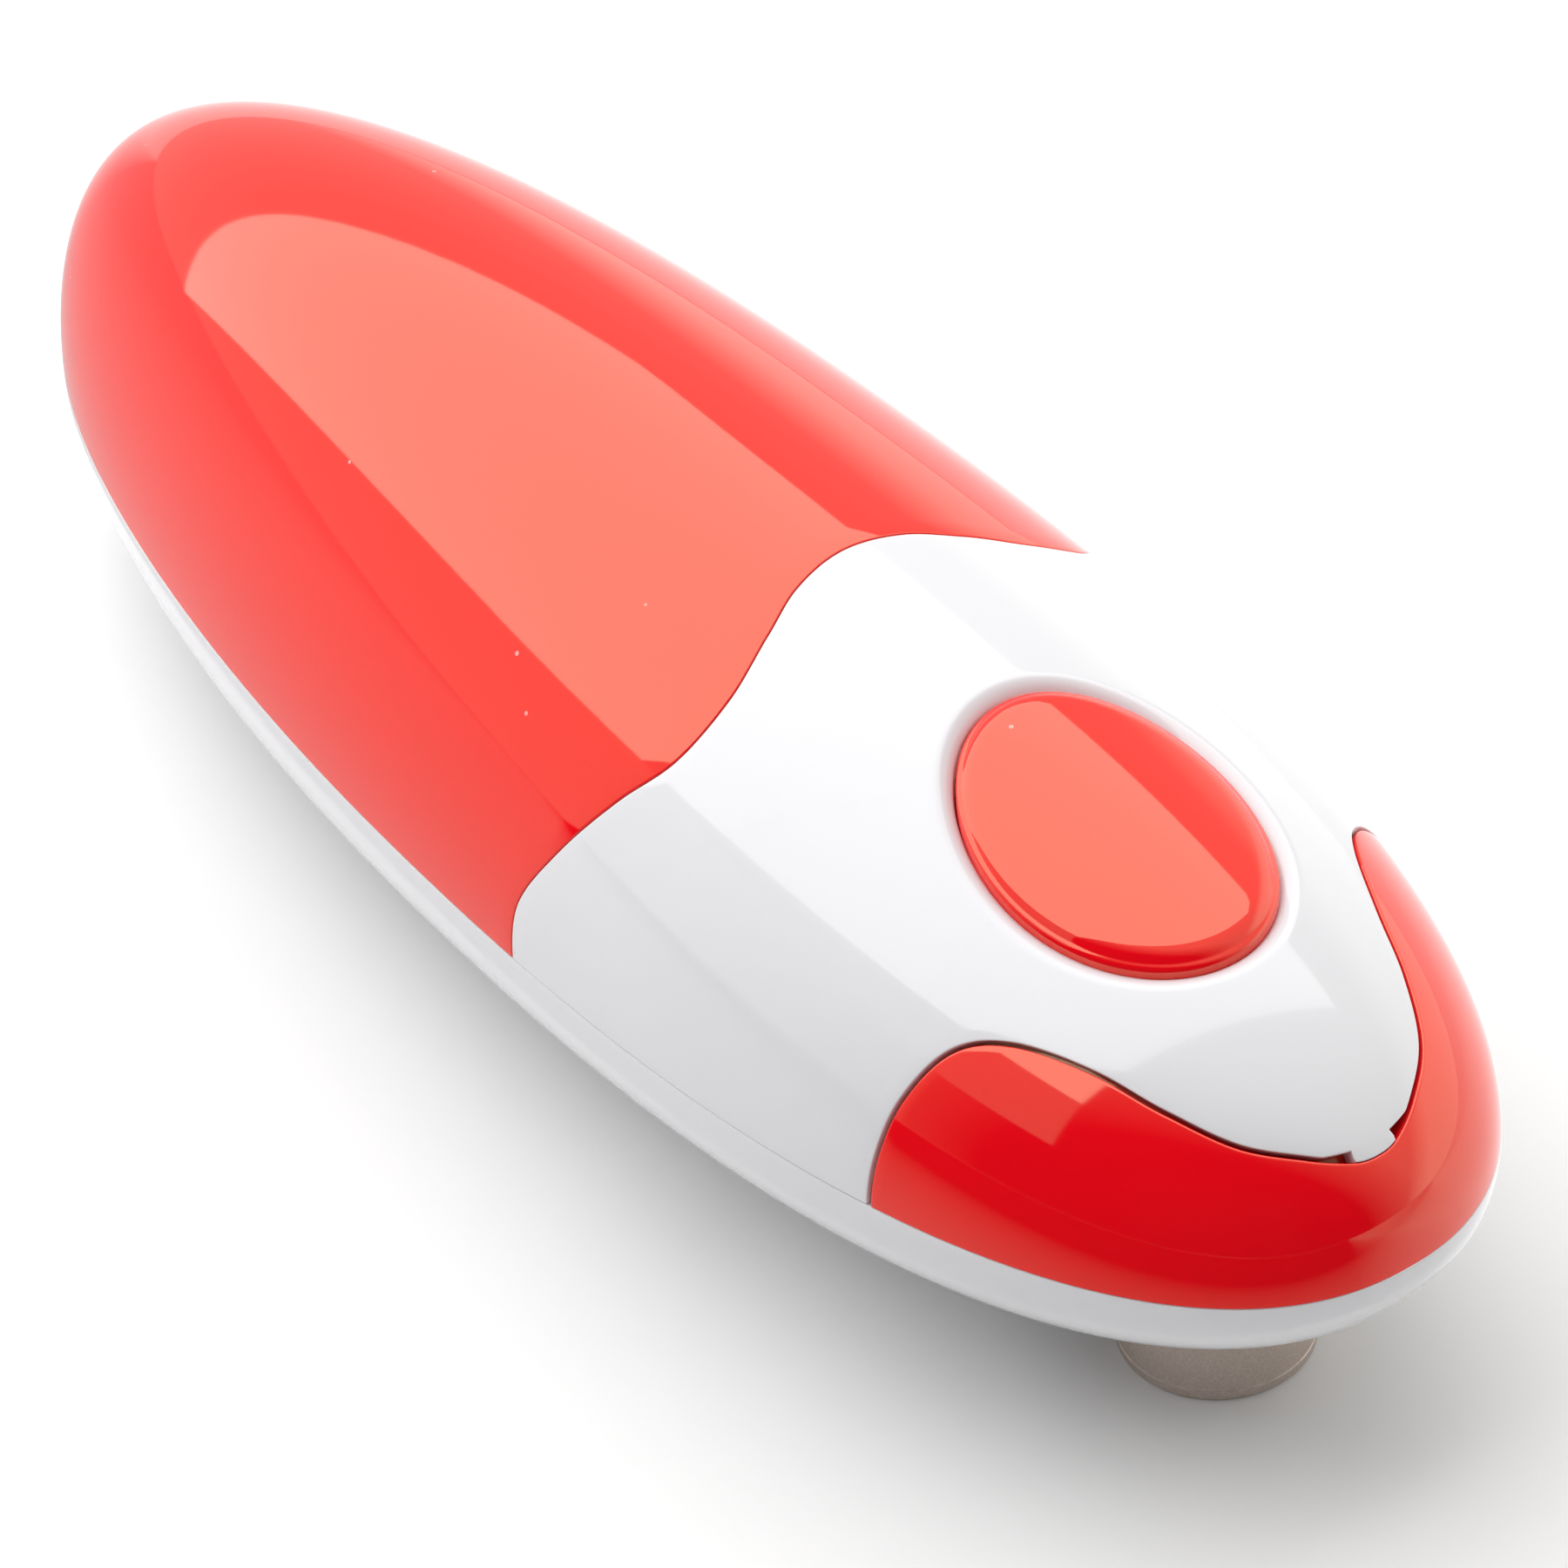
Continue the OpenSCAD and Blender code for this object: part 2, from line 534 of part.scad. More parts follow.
module lead_wires() {
    x0 = tray_x1;
    x1 = drive_c[0] - 15.4;
    z1 = board_z - 0.6;
    color([0.7, 0.05, 0.05]) for (s = [-1, 1]) wire_tube([[x0 + 0.6, s * 7, cells_z + 14],
        [x0 + 4, s * 7.5, cells_z + 14.5], [x0 + 9, s * 12, cells_z + 16],
        [motor_c[0] - 6, s * 15.5, motor_z + 4], [motor_c[0] + 6, s * 15.5, motor_z + 3],
        [motor_c[0] + 16, s * 11, motor_z + 3], [x1 - 1, s * 5.5, z1 - 0.6], [x1, s * 5, z1 - 0.05]], 1.1);
}

module shell_screws() {
    color(STEEL) for (c = shell_posts) at2(c, head_z) rotate([180, 0, 0]) screw(screw_d, head_d, 20, 2);
}

// ---- gearbox ----
module gearbox_base() {
    color(NYLON) difference() {
        union() {
            at2([0, 0], base_z) plate_of(pillars, base_rim, plate_t);
            at2(gear1_c, base_z) cylinder(d = axle_d + 5, h = plate_t);
            at2(gear3_c, base_z) cylinder(d = axle_d + 5, h = plate_t);
            for (c = pillars) at2(c, base_z) cylinder(d = pillar_d, h = top_plate_z - base_z);
        }
        at2(swing_c, base_z - 1) cylinder(r = plate_r + 0.7, h = plate_t + 2);
        at2(drive_c, base_z - 1) cylinder(d = bush_d, h = plate_t + 2);
        for (c = [gear1_c, gear2_c, gear3_c]) at2(c, base_z + 0.6) cylinder(d = axle_d, h = plate_t);
        for (c = pillars) at2(c, top_plate_z - 6) cylinder(d = 2, h = 7);
    }
}

module gearbox_top() {
    color(NYLON) difference() {
        union() {
            at2([0, 0], top_plate_z)
                plate_of(concat(pillars, [board_posts[2], board_posts[3]]), base_rim, plate_t);
            at2(motor_c, top_plate_z) cylinder(d = motor_d + 1, h = plate_t);
            at2(gear1_c, top_plate_z) cylinder(d = axle_d + 5, h = plate_t);
            for (c = board_posts) at2(c, top_plate_z) cylinder(d = 4.6, h = board_z - top_plate_z);
        }
        at2(motor_c, top_plate_z - 1) cylinder(d = 8.2, h = plate_t + 2);
        at2(drive_c, top_plate_z - 1) cylinder(d = shaft_d + 2 * run_gap, h = plate_t + 2);
        for (c = [gear1_c, gear2_c, gear3_c]) at2(c, top_plate_z - 1) cylinder(d = axle_d, h = plate_t + 0.4);
        for (c = pillars) at2(c, top_plate_z - 1) cylinder(d = 2, h = plate_t + 2);
        for (c = board_posts) at2(c, board_z - 3.4) cylinder(d = 2, h = 4);
        for (s = [-1, 1]) at2(motor_c + [0, 8 * s], top_plate_z - 1) cylinder(d = 2, h = plate_t + 2);
    }
}

module gearbox_screws() {
    color(STEEL) for (c = pillars) at2(c, motor_z) screw(2, 3.8, 7, 1.4);
}

// ---- motor ----
module motor_can() {
    color(STEEL) at2(motor_c, motor_z) difference() {
        union() {
            cylinder(d = motor_d, h = motor_h);
            translate([0, 0, motor_h - 0.01]) cylinder(d = 8, h = 1.2);
            translate([0, 0, -1.6]) cylinder(d = 8, h = 1.7);
            for (s = [-1, 1]) translate([-0.3, s * 8 - 1.4, motor_h - 0.01]) cube([0.6, 2.8, 1]);
        }
        translate([0, 0, -2]) cylinder(d = 2 + 2 * run_gap, h = motor_h);
        for (s = [-1, 1]) translate([0, 8 * s, -1]) cylinder(d = 2, h = 4);
    }
}

module motor_screws() {
    color(STEEL) for (s = [-1, 1]) at2(motor_c + [0, 8 * s], top_plate_z) rotate([180, 0, 0])
        screw(2, 3.6, 4.5, 1.2);
}

module motor_shaft() {
    color(STEEL) at2(motor_c, level(2) - 0.4) cylinder(d = 2, h = motor_z - level(2) + motor_h - 4);
}

module motor_pinion() {
    color(BRASS) at2(motor_c, level(2)) difference() {
        spur(pinion_n, gear_m, face_w, bearing(motor_c, gear1_c));
        translate([0, 0, -1]) cylinder(d = 2, h = face_w + 2);
    }
}

// ---- reduction gears: a large wheel and a small one on one hub ----
module compound(c, big_level, big_turn, small_level, small_turn) {
    lo = min(big_level, small_level);
    hi = max(big_level, small_level);
    color(NYLON) at2(c, 0) bored(axle_d, level(lo), level(hi) + face_w) {
        union() {
            translate([0, 0, level(big_level)]) spur(large_n, gear_m, face_w, big_turn);
            translate([0, 0, level(small_level)]) spur(small_n, gear_m, face_w, small_turn);
            translate([0, 0, level(lo)]) cylinder(d = hub_d, h = level(hi) - level(lo) + face_w);
        }
    }
}
// a wheel of n teeth turned so that a gap of it faces the tooth of the wheel before
function into(c, before, n) = bearing(c, before) + 180 / n;
module gear_1() { compound(gear1_c, 2, into(gear1_c, motor_c, large_n), 1, bearing(gear1_c, gear2_c)); }
module gear_2() { compound(gear2_c, 1, into(gear2_c, gear1_c, large_n), 0, bearing(gear2_c, gear3_c)); }
module gear_3() { compound(gear3_c, 0, into(gear3_c, gear2_c, large_n), 3, bearing(gear3_c, drive_c)); }

module gear_axles() {
    color(STEEL) for (c = [gear1_c, gear2_c, gear3_c])
        at2(c, base_z + 0.6) cylinder(d = axle_d, h = top_plate_z + plate_t - 0.6 - base_z - 0.6);
}

// ---- drive ----
module drive_shaft() {
    color(STEEL) at2(drive_c, 1) cylinder(d = shaft_d, h = motor_z - 1.2);
}

module drive_gear() {
    color(NYLON) at2(drive_c, level(3)) difference() {
        spur(large_n, gear_m, face_w, into(drive_c, gear3_c, large_n));
        translate([0, 0, -1]) cylinder(d = shaft_d, h = face_w + 2);
    }
}

module drive_wheel() {
    teeth = 24;
    r = wheel_d / 2;
    color(STEEL) at2(drive_c, 1.4) difference() {
        union() {
            linear_extrude(wheel_h - 0.8) polygon([for (k = [0 : teeth - 1]) each
                [r * [cos(360 * k / teeth - 3), sin(360 * k / teeth - 3)],
                 r * [cos(360 * k / teeth + 3), sin(360 * k / teeth + 3)],
                 (r - 0.5) * [cos(360 * (k + 0.5) / teeth), sin(360 * (k + 0.5) / teeth)]]]);
            translate([0, 0, wheel_h - 0.8]) cylinder(r = r - 0.6, h = 0.8);
        }
        translate([0, 0, -1]) cylinder(d = shaft_d, h = wheel_h + 2);
    }
}

module shaft_bush() {
    z0 = belly_z(drive_c[0], 0) + 0.3;
    color(BRASS) at2(drive_c, z0) ring(bush_d, shaft_d + 2 * run_gap, base_z + plate_t - z0);
}

module clutch_washer() {
    color(STEEL) at2(drive_c, level(3) - 0.35) ring(shaft_d + 5, shaft_d, 0.35);
}

module clutch_gear() {
    color(BRASS) at2(drive_c, level(2)) bored(shaft_d, 0, face_w)
        spur(clutch_n, swing_m, face_w - 0.05, bearing(drive_c, swing_c));
}

// ---- cutter ----
module cutter_plate() {
    color(STEEL) at2(swing_c, cutter_plate_z) difference() {
        cylinder(r = plate_r, h = plate_t);
        translate([0, 0, -1]) cylinder(d = journal_d + 2 * run_gap, h = plate_t + 2);
        for (s = [-1, 1]) translate([0, s * (plate_r - 1.8), -1]) cylinder(d = 1.6, h = plate_t + 2);
    }
}

module cutter_plate_screws() {
    color(STEEL) for (s = [-1, 1]) at2(swing_c + [0, s * (plate_r - 1.8)], cutter_plate_z + plate_t)
        screw(1.6, 2.8, plate_t, 0.9);
}

slot_z = 2.2;
cutter_t = 1.6;
stud_y = barrel_r + cutter_reach - cutter_d / 2;
module cutter_barrel() {
    color(STEEL) difference() {
        union() {
            at2([barrel_x, 0], 0) cylinder(d = barrel_d, h = barrel_top, $fn = 96);
            at2(swing_c, barrel_top - 0.1) cylinder(d = journal_d, h = level(3) - 0.3 - barrel_top);
        }
        at2([barrel_x, stud_y], slot_z) cylinder(d = cutter_d + 0.8, h = cutter_t + 0.8);
        at2([barrel_x, stud_y], slot_z + 0.2) cylinder(d = 3.5, h = 8);
        at2([barrel_x, stud_y], -1) cylinder(d = 3.5, h = 8);
    }
}

module swing_gear() {
    color(STEEL) at2(swing_c, level(2)) difference() {
        spur(swing_n, swing_m, face_w - 0.1, into(swing_c, drive_c, swing_n));
        translate([0, 0, -1]) cylinder(d = journal_d, h = face_w + 2);
    }
}

module cutter_stud() {
    color(STEEL) at2([barrel_x, stud_y], 0.2) cylinder(d = 3.5, h = 9);
}

module cutter_wheel() {
    r = cutter_d / 2;
    color(STEEL) at2([barrel_x, stud_y], slot_z + 0.4) difference() {
        rotate_extrude($fn = 96) polygon([[0, 0], [r - 1.6, 0], [r, cutter_t / 2], [r - 1.6, cutter_t],
            [0, cutter_t]]);
        translate([0, 0, -1]) cylinder(d = 3.5 + 2 * run_gap, h = cutter_t + 2);
    }
}

module lid_magnet() {
    x = swing_c[0] + barrel_r + barrel_throw + 6;
    color(DARK) at2([x, 0], belly_z(x + 3.5, 0) + wall + 0.6) cylinder(d = 7, h = 3);
}

lower_shell();
mid_cover();
nose_trim();
rear_cover();
button();
button_spring();
button_guide();
control_board();
board_screws();
switch_body();
switch_plunger();
battery_tray();
battery_cells();
battery_springs();
contact_plates();
lead_wires();
shell_screws();
gearbox_base();
gearbox_top();
gearbox_screws();
motor_can();
motor_screws();
motor_shaft();
motor_pinion();
gear_1();
gear_2();
gear_3();
gear_axles();
drive_shaft();
drive_gear();
drive_wheel();
shaft_bush();
clutch_washer();
clutch_gear();
cutter_plate();
cutter_plate_screws();
cutter_barrel();
swing_gear();
cutter_stud();
cutter_wheel();
lid_magnet();
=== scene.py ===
# %% [markdown]
# # A one-touch can opener, shell by shell
# The opener is an oval plastic casing with a push button on top and a steel cutter below. The design
# file holds every working piece. Here the outer mouldings are made again as smooth skins, with the
# rounded edges and fine joints of real mouldings, and every piece gets its finish.
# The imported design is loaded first, because every later piece is placed from it.

# %% Load the fixed frame
import json
import math

import bmesh
import bpy
import numpy as np
from mathutils import Matrix, Vector


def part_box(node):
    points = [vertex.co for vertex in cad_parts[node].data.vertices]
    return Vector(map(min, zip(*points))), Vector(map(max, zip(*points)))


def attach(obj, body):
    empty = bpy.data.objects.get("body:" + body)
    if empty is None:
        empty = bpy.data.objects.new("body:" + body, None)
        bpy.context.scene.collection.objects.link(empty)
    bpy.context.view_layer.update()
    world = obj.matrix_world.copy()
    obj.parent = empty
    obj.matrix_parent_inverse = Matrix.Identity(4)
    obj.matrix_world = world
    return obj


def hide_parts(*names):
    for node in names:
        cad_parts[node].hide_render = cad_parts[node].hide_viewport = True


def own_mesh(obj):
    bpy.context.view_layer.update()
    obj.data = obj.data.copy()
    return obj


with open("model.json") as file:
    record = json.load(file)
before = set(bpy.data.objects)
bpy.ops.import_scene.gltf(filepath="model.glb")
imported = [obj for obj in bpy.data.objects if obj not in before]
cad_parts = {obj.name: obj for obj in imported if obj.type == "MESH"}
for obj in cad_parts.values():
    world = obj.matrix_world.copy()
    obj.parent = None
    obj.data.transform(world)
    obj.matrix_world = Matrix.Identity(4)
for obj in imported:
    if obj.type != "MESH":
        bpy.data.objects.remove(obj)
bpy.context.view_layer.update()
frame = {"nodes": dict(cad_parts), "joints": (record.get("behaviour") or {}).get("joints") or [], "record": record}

MM = 0.001
nodes = frame["nodes"]

# %% [markdown]
# ## Form of the casing
# The casing is one rounded form: its width, its height above the parting line and its depth below it
# each follow a rounded curve along the length. Formulas were chosen over sculpting, because the
# mouldings must meet on exactly the same surface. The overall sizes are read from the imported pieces,
# so the skins follow the design, and only the fullness of each curve is stated here.

# %% Fullness of the curves, as in the design
TIP_SHARE = 0.999            # the design's skins stop just short of their points
NOSE_RISE = 0.041            # rise of the parting line towards the nose
PLAN = (2.18, 2.18, 0.205)   # power, root and how much fuller the nose half is
TOP = (2.38, 2.34, -0.255)
BOTTOM = (2.70, 2.30, -0.045)
BOTTOM_SQUARE = 2.20
WALL = 2.0


def bulge(u, curve):
    power, root, lean = curve
    return np.maximum(0.0, 1 - np.abs(u) ** power) ** (1 / root) * (1 + lean * u)


stations = np.linspace(-1, 1, 4001)
low, high = (np.array(corner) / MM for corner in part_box("lower_shell"))
half_l = high[0] / TIP_SHARE
half_w = high[1] / bulge(stations, PLAN).max()
part_z = high[2] - NOSE_RISE * high[0]


def solve_height(peak):
    """The height for which peak(height) is zero, by halving."""
    lo, hi = 5.0, 80.0
    for _ in range(50):
        mid = (lo + hi) / 2
        lo, hi = (mid, hi) if peak(mid) < 0 else (lo, mid)
    return (lo + hi) / 2


rear_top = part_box("rear_cover")[1][2] / MM
line = part_z + NOSE_RISE * stations * half_l
top_h = solve_height(lambda h: (line + h * bulge(stations, TOP)).max() - rear_top)
bottom_h = solve_height(lambda h: -(line - h * bulge(stations, BOTTOM)).min())
print(f"length {2 * half_l:.1f}, half width {half_w:.2f}, heights {top_h:.2f} and {bottom_h:.2f} mm")


# %% [markdown]
# ## Points on the skin
# Every moulding is drawn in two numbers: how far along the casing, and how far round the section.
# A point sinks into the wall along the true normal, which gives rounded edges and even walls.
# Working in these two numbers keeps the mesh in clean rows, so reflections run smoothly over it.

# %% Surface point and normal
def skin_point(x, angle, upper=True):
    """Point of the casing in millimetres: x along it, angle round the section from the near side."""
    u = np.clip(x / half_l, -1, 1)
    width = half_w * bulge(u, PLAN)
    z0 = part_z + NOSE_RISE * x
    if upper:
        y = -width * np.cos(angle)
        z = z0 + top_h * bulge(u, TOP) * np.sin(angle)
    else:
        power = 2 / BOTTOM_SQUARE
        y = -width * np.sign(np.cos(angle)) * np.abs(np.cos(angle)) ** power
        z = z0 - bottom_h * bulge(u, BOTTOM) * np.abs(np.sin(angle)) ** power
    return np.stack([x + 0 * y, y, z], axis=-1)


def skin_slopes(x, angle, upper=True):
    step, turn = 0.01, 0.0005
    x = np.clip(x, -half_l + 2 * step, half_l - 2 * step)
    a = np.clip(angle, 2 * turn, math.pi - 2 * turn)
    along = skin_point(x + step, a, upper) - skin_point(x - step, a, upper)
    round_it = skin_point(x, a + turn, upper) - skin_point(x, a - turn, upper)
    return along / (2 * step), round_it / (2 * turn)


def skin_normal(x, angle, upper=True):
    along, round_it = skin_slopes(x, angle, upper)
    n = np.cross(along, round_it) * (1 if upper else -1)
    n /= np.linalg.norm(n, axis=-1, keepdims=True)
    tip = np.clip((np.abs(x) - 0.9996 * half_l) / (0.0003 * half_l), 0, 1)[..., None]
    ahead = np.stack([np.sign(x) + 0 * n[..., 0], 0 * n[..., 0], 0 * n[..., 0]], axis=-1)
    n = n * (1 - tip) + ahead * tip
    return n / np.linalg.norm(n, axis=-1, keepdims=True)


def sunk(x, angle, depth, upper=True):
    """Points depth millimetres below the skin."""
    return skin_point(x, angle, upper) - np.asarray(depth)[..., None] * skin_normal(x, angle, upper)


check = skin_normal(np.array([0.0, 40.0]), np.array([math.pi / 2, 0.6]))
print("normals at the top and on the side:", check.round(2).tolist())


# %% [markdown]
# ## Edges of the mouldings
# The wavy seam and the tongue of the nose trim are smooth curves through a few chosen points. The
# second copy of an edge, a gap away, is found by stepping sideways along the surface, because a gap
# that is even on the real surface is what makes a joint look moulded and not drawn.

# %% Seam curves
def smooth_curve(knots, n):
    """n + 1 points of a smooth curve through the knots, [distance from the nose, degrees]."""
    k = np.array(knots, float)
    # past the crown the curve goes on as its own mirror image, so it has no kink there
    mirrored = [k[-2, 0], 180 - k[-2, 1]]
    k = np.vstack([k[:1], k, mirrored])
    f = np.linspace(0, len(knots) - 1, n + 1)
    i = np.minimum(f.astype(int), len(knots) - 2)
    t = (f - i)[:, None]
    a, b, c, d = k[i], k[i + 1], k[i + 2], k[i + 3]
    p = 0.5 * (2 * b + (c - a) * t + (2 * a - 5 * b + 4 * c - d) * t * t
               + (3 * b - a - 3 * c + d) * t ** 3)
    return np.stack([half_l - p[:, 0], np.radians(p[:, 1])], axis=-1)


def both_sides(one_side):
    """The curve from the near parting line over the top to the far one."""
    far = one_side[-2::-1] * [1, -1] + [0, math.pi]
    return np.vstack([one_side, far])


def stepped(edge, distance, closed=False):
    """The edge moved sideways over the surface by a distance in millimetres."""
    if closed:
        tangent = np.roll(edge, -1, 0) - np.roll(edge, 1, 0)
    else:
        tangent = np.gradient(edge, axis=0)
    along, round_it = skin_slopes(edge[:, 0], edge[:, 1])
    t = along * tangent[:, :1] + round_it * tangent[:, 1:]
    side = np.cross(np.cross(along, round_it), t)
    side /= np.linalg.norm(side, axis=1, keepdims=True)
    aa, ar, rr = ((p * q).sum(1) for p, q in ((along, along), (along, round_it), (round_it, round_it)))
    sa, sr = (side * along).sum(1), (side * round_it).sum(1)
    det = aa * rr - ar * ar
    move = np.stack([(sa * rr - sr * ar) / det, (sr * aa - sa * ar) / det], axis=-1)
    if not closed:
        move[[0, -1]] = [[np.sign(move[0, 0]), 0], [np.sign(move[-1, 0]), 0]]
    return edge + move * np.broadcast_to(distance, len(edge))[:, None]


WAVE = [[85.6, 0], [84.9, 11], [80.9, 24], [76.6, 37], [73.2, 48], [72.8, 60], [74.8, 71], [77, 80], [78, 90]]
TONGUE = [[37.5, 0], [37.1, 13], [36.3, 27], [34.2, 40], [30, 47.5], [23, 52.5], [16.5, 54.7], [10.5, 59],
          [6.8, 69], [4.9, 80], [4.45, 90]]
wave = both_sides(smooth_curve(WAVE, 90))
tongue_plain = both_sides(smooth_curve(TONGUE, 150))
towards_tail = 1 if stepped(wave, 1.0)[60, 0] < wave[60, 0] else -1
print("seam points:", len(wave), "tongue points:", len(tongue_plain))

# %% [markdown]
# The tip of the white tongue has a small key that reaches across the shadow gap and centres the
# cover in the trim, with a notch on each side of it. It is drawn by stepping the edge forwards and
# backwards near the middle, with distances that depend on how far each point is from the middle.

# %% Key and notches at the tongue's tip
KEY_HALF = 2.15
NOTCH_END = 4.6
KEY_REACH = 0.36
NOTCH_DEPTH = 0.62
TRIM_GAP = 0.42

tip_y = np.abs(skin_point(tongue_plain[:, 0], tongue_plain[:, 1])[:, 1])
in_key = 1 - np.clip((tip_y - KEY_HALF) / 0.25, 0, 1)
in_notch = np.clip((NOTCH_END - tip_y) / (NOTCH_END - KEY_HALF - 0.3), 0, 1) * (1 - in_key)
near_tip = np.abs(tongue_plain[:, 1] - math.pi / 2) < 0.6
key_step = np.where(near_tip, KEY_REACH * in_key - NOTCH_DEPTH * in_notch, 0)
tongue = stepped(tongue_plain, -towards_tail * key_step)
trim_edge = stepped(tongue_plain, -towards_tail * TRIM_GAP)
print("key reaches", KEY_REACH, "of a", TRIM_GAP, "mm gap")


# %% [markdown]
# ## From points to a moulding
# A moulding is a grid of points on the skin and the same grid a wall's thickness below it, joined
# round the rim. The rim is rounded by sinking the last few rows along a quarter circle. A bevel
# modifier could round it too, but it would disturb the long rows that keep gloss clean.

# %% Mesh helpers
def rounding(distance, radius):
    """How deep a rounded edge lies at a distance in from the edge."""
    d = np.clip(distance, 0, radius)
    return radius - np.sqrt(np.maximum(0, radius ** 2 - (radius - d) ** 2))


def quarter_steps(radius, n=5):
    """Distances in from an edge that give even steps round its quarter circle."""
    return radius * (1 - np.cos(np.linspace(0, math.pi / 2, n + 1)))


def mesh_object(name, points, faces, material, sharp=40):
    """A smooth shaded object from points in millimetres; coinciding points are joined."""
    mesh = bpy.data.meshes.new(name)
    bm = bmesh.new()
    verts = [bm.verts.new(Vector(p) * MM) for p in points]
    for face in faces:
        corners = [verts[i] for i in face]
        if len(set(corners)) == len(corners):
            try:
                bm.faces.new(corners)
            except ValueError:
                pass
    bmesh.ops.remove_doubles(bm, verts=bm.verts, dist=0.002 * MM)
    bmesh.ops.dissolve_degenerate(bm, edges=bm.edges, dist=0.0005 * MM)
    bmesh.ops.recalc_face_normals(bm, faces=bm.faces)
    bm.to_mesh(mesh)
    bm.free()
    mesh.shade_smooth()
    mesh.set_sharp_from_angle(angle=math.radians(sharp))
    mesh.materials.append(material)
    obj = bpy.data.objects.new(name, mesh)
    bpy.context.scene.collection.objects.link(obj)
    return obj


def grid_faces(rows, cols, start=0, closed=False, flip=False):
    faces = []
    for j in range(rows - 1):
        for i in range(cols if closed else cols - 1):
            k = (i + 1) % cols
            quad = (start + j * cols + i, start + j * cols + k,
                    start + (j + 1) * cols + k, start + (j + 1) * cols + i)
            faces.append(quad[::-1] if flip else quad)
    return faces


def two_skins(outer, inner, closed=False):
    """Points and faces of a shell between two equal grids, with its rim closed."""
    rows, cols = outer.shape[:2]
    n = rows * cols
    points = np.vstack([outer.reshape(-1, 3), inner.reshape(-1, 3)])
    faces = grid_faces(rows, cols, 0, closed) + grid_faces(rows, cols, n, closed, True)
    rims = [[j * cols + i for i in range(cols)] + ([j * cols] if closed else []) for j in (0, rows - 1)]
    if not closed:
        rims += [[j * cols + i for j in range(rows)] for i in (0, cols - 1)]
    for rim in rims:
        faces += [(a, b, b + n, a + n) for a, b in zip(rim, rim[1:])]
    return points, faces


# %% [markdown]
# ## Shared surface effects
# Real mouldings are never perfectly even. A faint waviness left by the mould, tiny specks of dust and
# hair scratches show up on gloss, and metal shows grain and brighter edges. Each effect is one node
# group with its own inputs, so that several finishes can share it with different strengths. The
# groups give only values, which feed roughness, colour and bump heights in the materials.

# %% Node helpers
def new_group(name, inputs, outputs):
    group = bpy.data.node_groups.new(name, "ShaderNodeTree")
    for label, default in inputs:
        socket = group.interface.new_socket(name=label, in_out="INPUT", socket_type="NodeSocketFloat")
        socket.default_value = default
    for label in outputs:
        group.interface.new_socket(name=label, in_out="OUTPUT", socket_type="NodeSocketFloat")
    return group, group.nodes.new("NodeGroupInput"), group.nodes.new("NodeGroupOutput")


def add_node(tree, kind, settings=None, **values):
    """A node with its settings, and its inputs set to numbers or linked to sockets."""
    node = tree.nodes.new(kind)
    for key, value in (settings or {}).items():
        setattr(node, key, value)
    for key, value in values.items():
        socket = node.inputs[int(key[1:])] if key[0] == "i" and key[1:].isdigit() else node.inputs[key]
        if isinstance(value, bpy.types.NodeSocket):
            tree.links.new(value, socket)
        else:
            socket.default_value = value
    return node


def maths(tree, operation, a, b=0.0):
    return add_node(tree, "ShaderNodeMath", {"operation": operation}, i0=a, i1=b).outputs[0]


def ramp(tree, value, low, high):
    """0 below low, 1 above high and a straight rise between them."""
    node = add_node(tree, "ShaderNodeMapRange", i0=value, i1=low, i2=high, i3=0.0, i4=1.0)
    return node.outputs[0]


def place(tree):
    """Position on the piece in metres, which moves with the piece."""
    return add_node(tree, "ShaderNodeTexCoord").outputs["Object"]


def noise(tree, scale, detail=2.0, vector=None):
    return add_node(tree, "ShaderNodeTexNoise", Scale=scale, Detail=detail,
                    Vector=vector or place(tree)).outputs[0]


# %% [markdown]
# ### Moulded waviness
# A moulded face is faintly wavy where the plastic shrank in the mould, and its colour drifts with the
# flow. A picture of such a surface could be wrapped on, but noise needs no unwrapping, and it stays
# even across pieces of any shape.

# %% Moulded waviness
moulding_group, g_in, g_out = new_group("moulded_waviness", [("Scale", 300.0), ("Depth", 1.0)],
                                        ["Height", "Tone"])
peel = noise(moulding_group, g_in.outputs["Scale"], 2.0)
flow = noise(moulding_group, 22.0, 3.0)
height = maths(moulding_group, "MULTIPLY", peel, g_in.outputs["Depth"])
moulding_group.links.new(height, g_out.inputs["Height"])
moulding_group.links.new(flow, g_out.inputs["Tone"])
print("built", moulding_group.name)

# %% [markdown]
# ### Dust and scratches
# Dust lies on gloss in scattered specks, and handling leaves hair scratches in patches. Both could be
# painted by hand, but worked out from position they cover every piece without a seam. The specks are
# the cores of a few chosen Voronoi cells, and the scratches are noise stretched along one line.

# %% Dust specks and hair scratches
dust_group, g_in, g_out = new_group("dust_and_scratches", [("Amount", 0.5), ("Size", 1.0)],
                                    ["Specks", "Scratches"])
cell = add_node(dust_group, "ShaderNodeTexVoronoi", {"feature": "F1"}, Scale=230.0, Vector=place(dust_group))
radius = maths(dust_group, "MULTIPLY", g_in.outputs["Size"], 0.052)
inside = maths(dust_group, "LESS_THAN", cell.outputs["Distance"], radius)
chance = add_node(dust_group, "ShaderNodeSeparateColor", i0=cell.outputs["Color"]).outputs[0]
chosen = maths(dust_group, "LESS_THAN", chance, maths(dust_group, "MULTIPLY", g_in.outputs["Amount"], 0.24))
dust_group.links.new(maths(dust_group, "MULTIPLY", inside, chosen), g_out.inputs["Specks"])
stretch = add_node(dust_group, "ShaderNodeMapping", {"vector_type": "TEXTURE"}, Vector=place(dust_group),
                   Rotation=(0.3, 0.5, 0.6), Scale=(1.0, 0.02, 0.02))
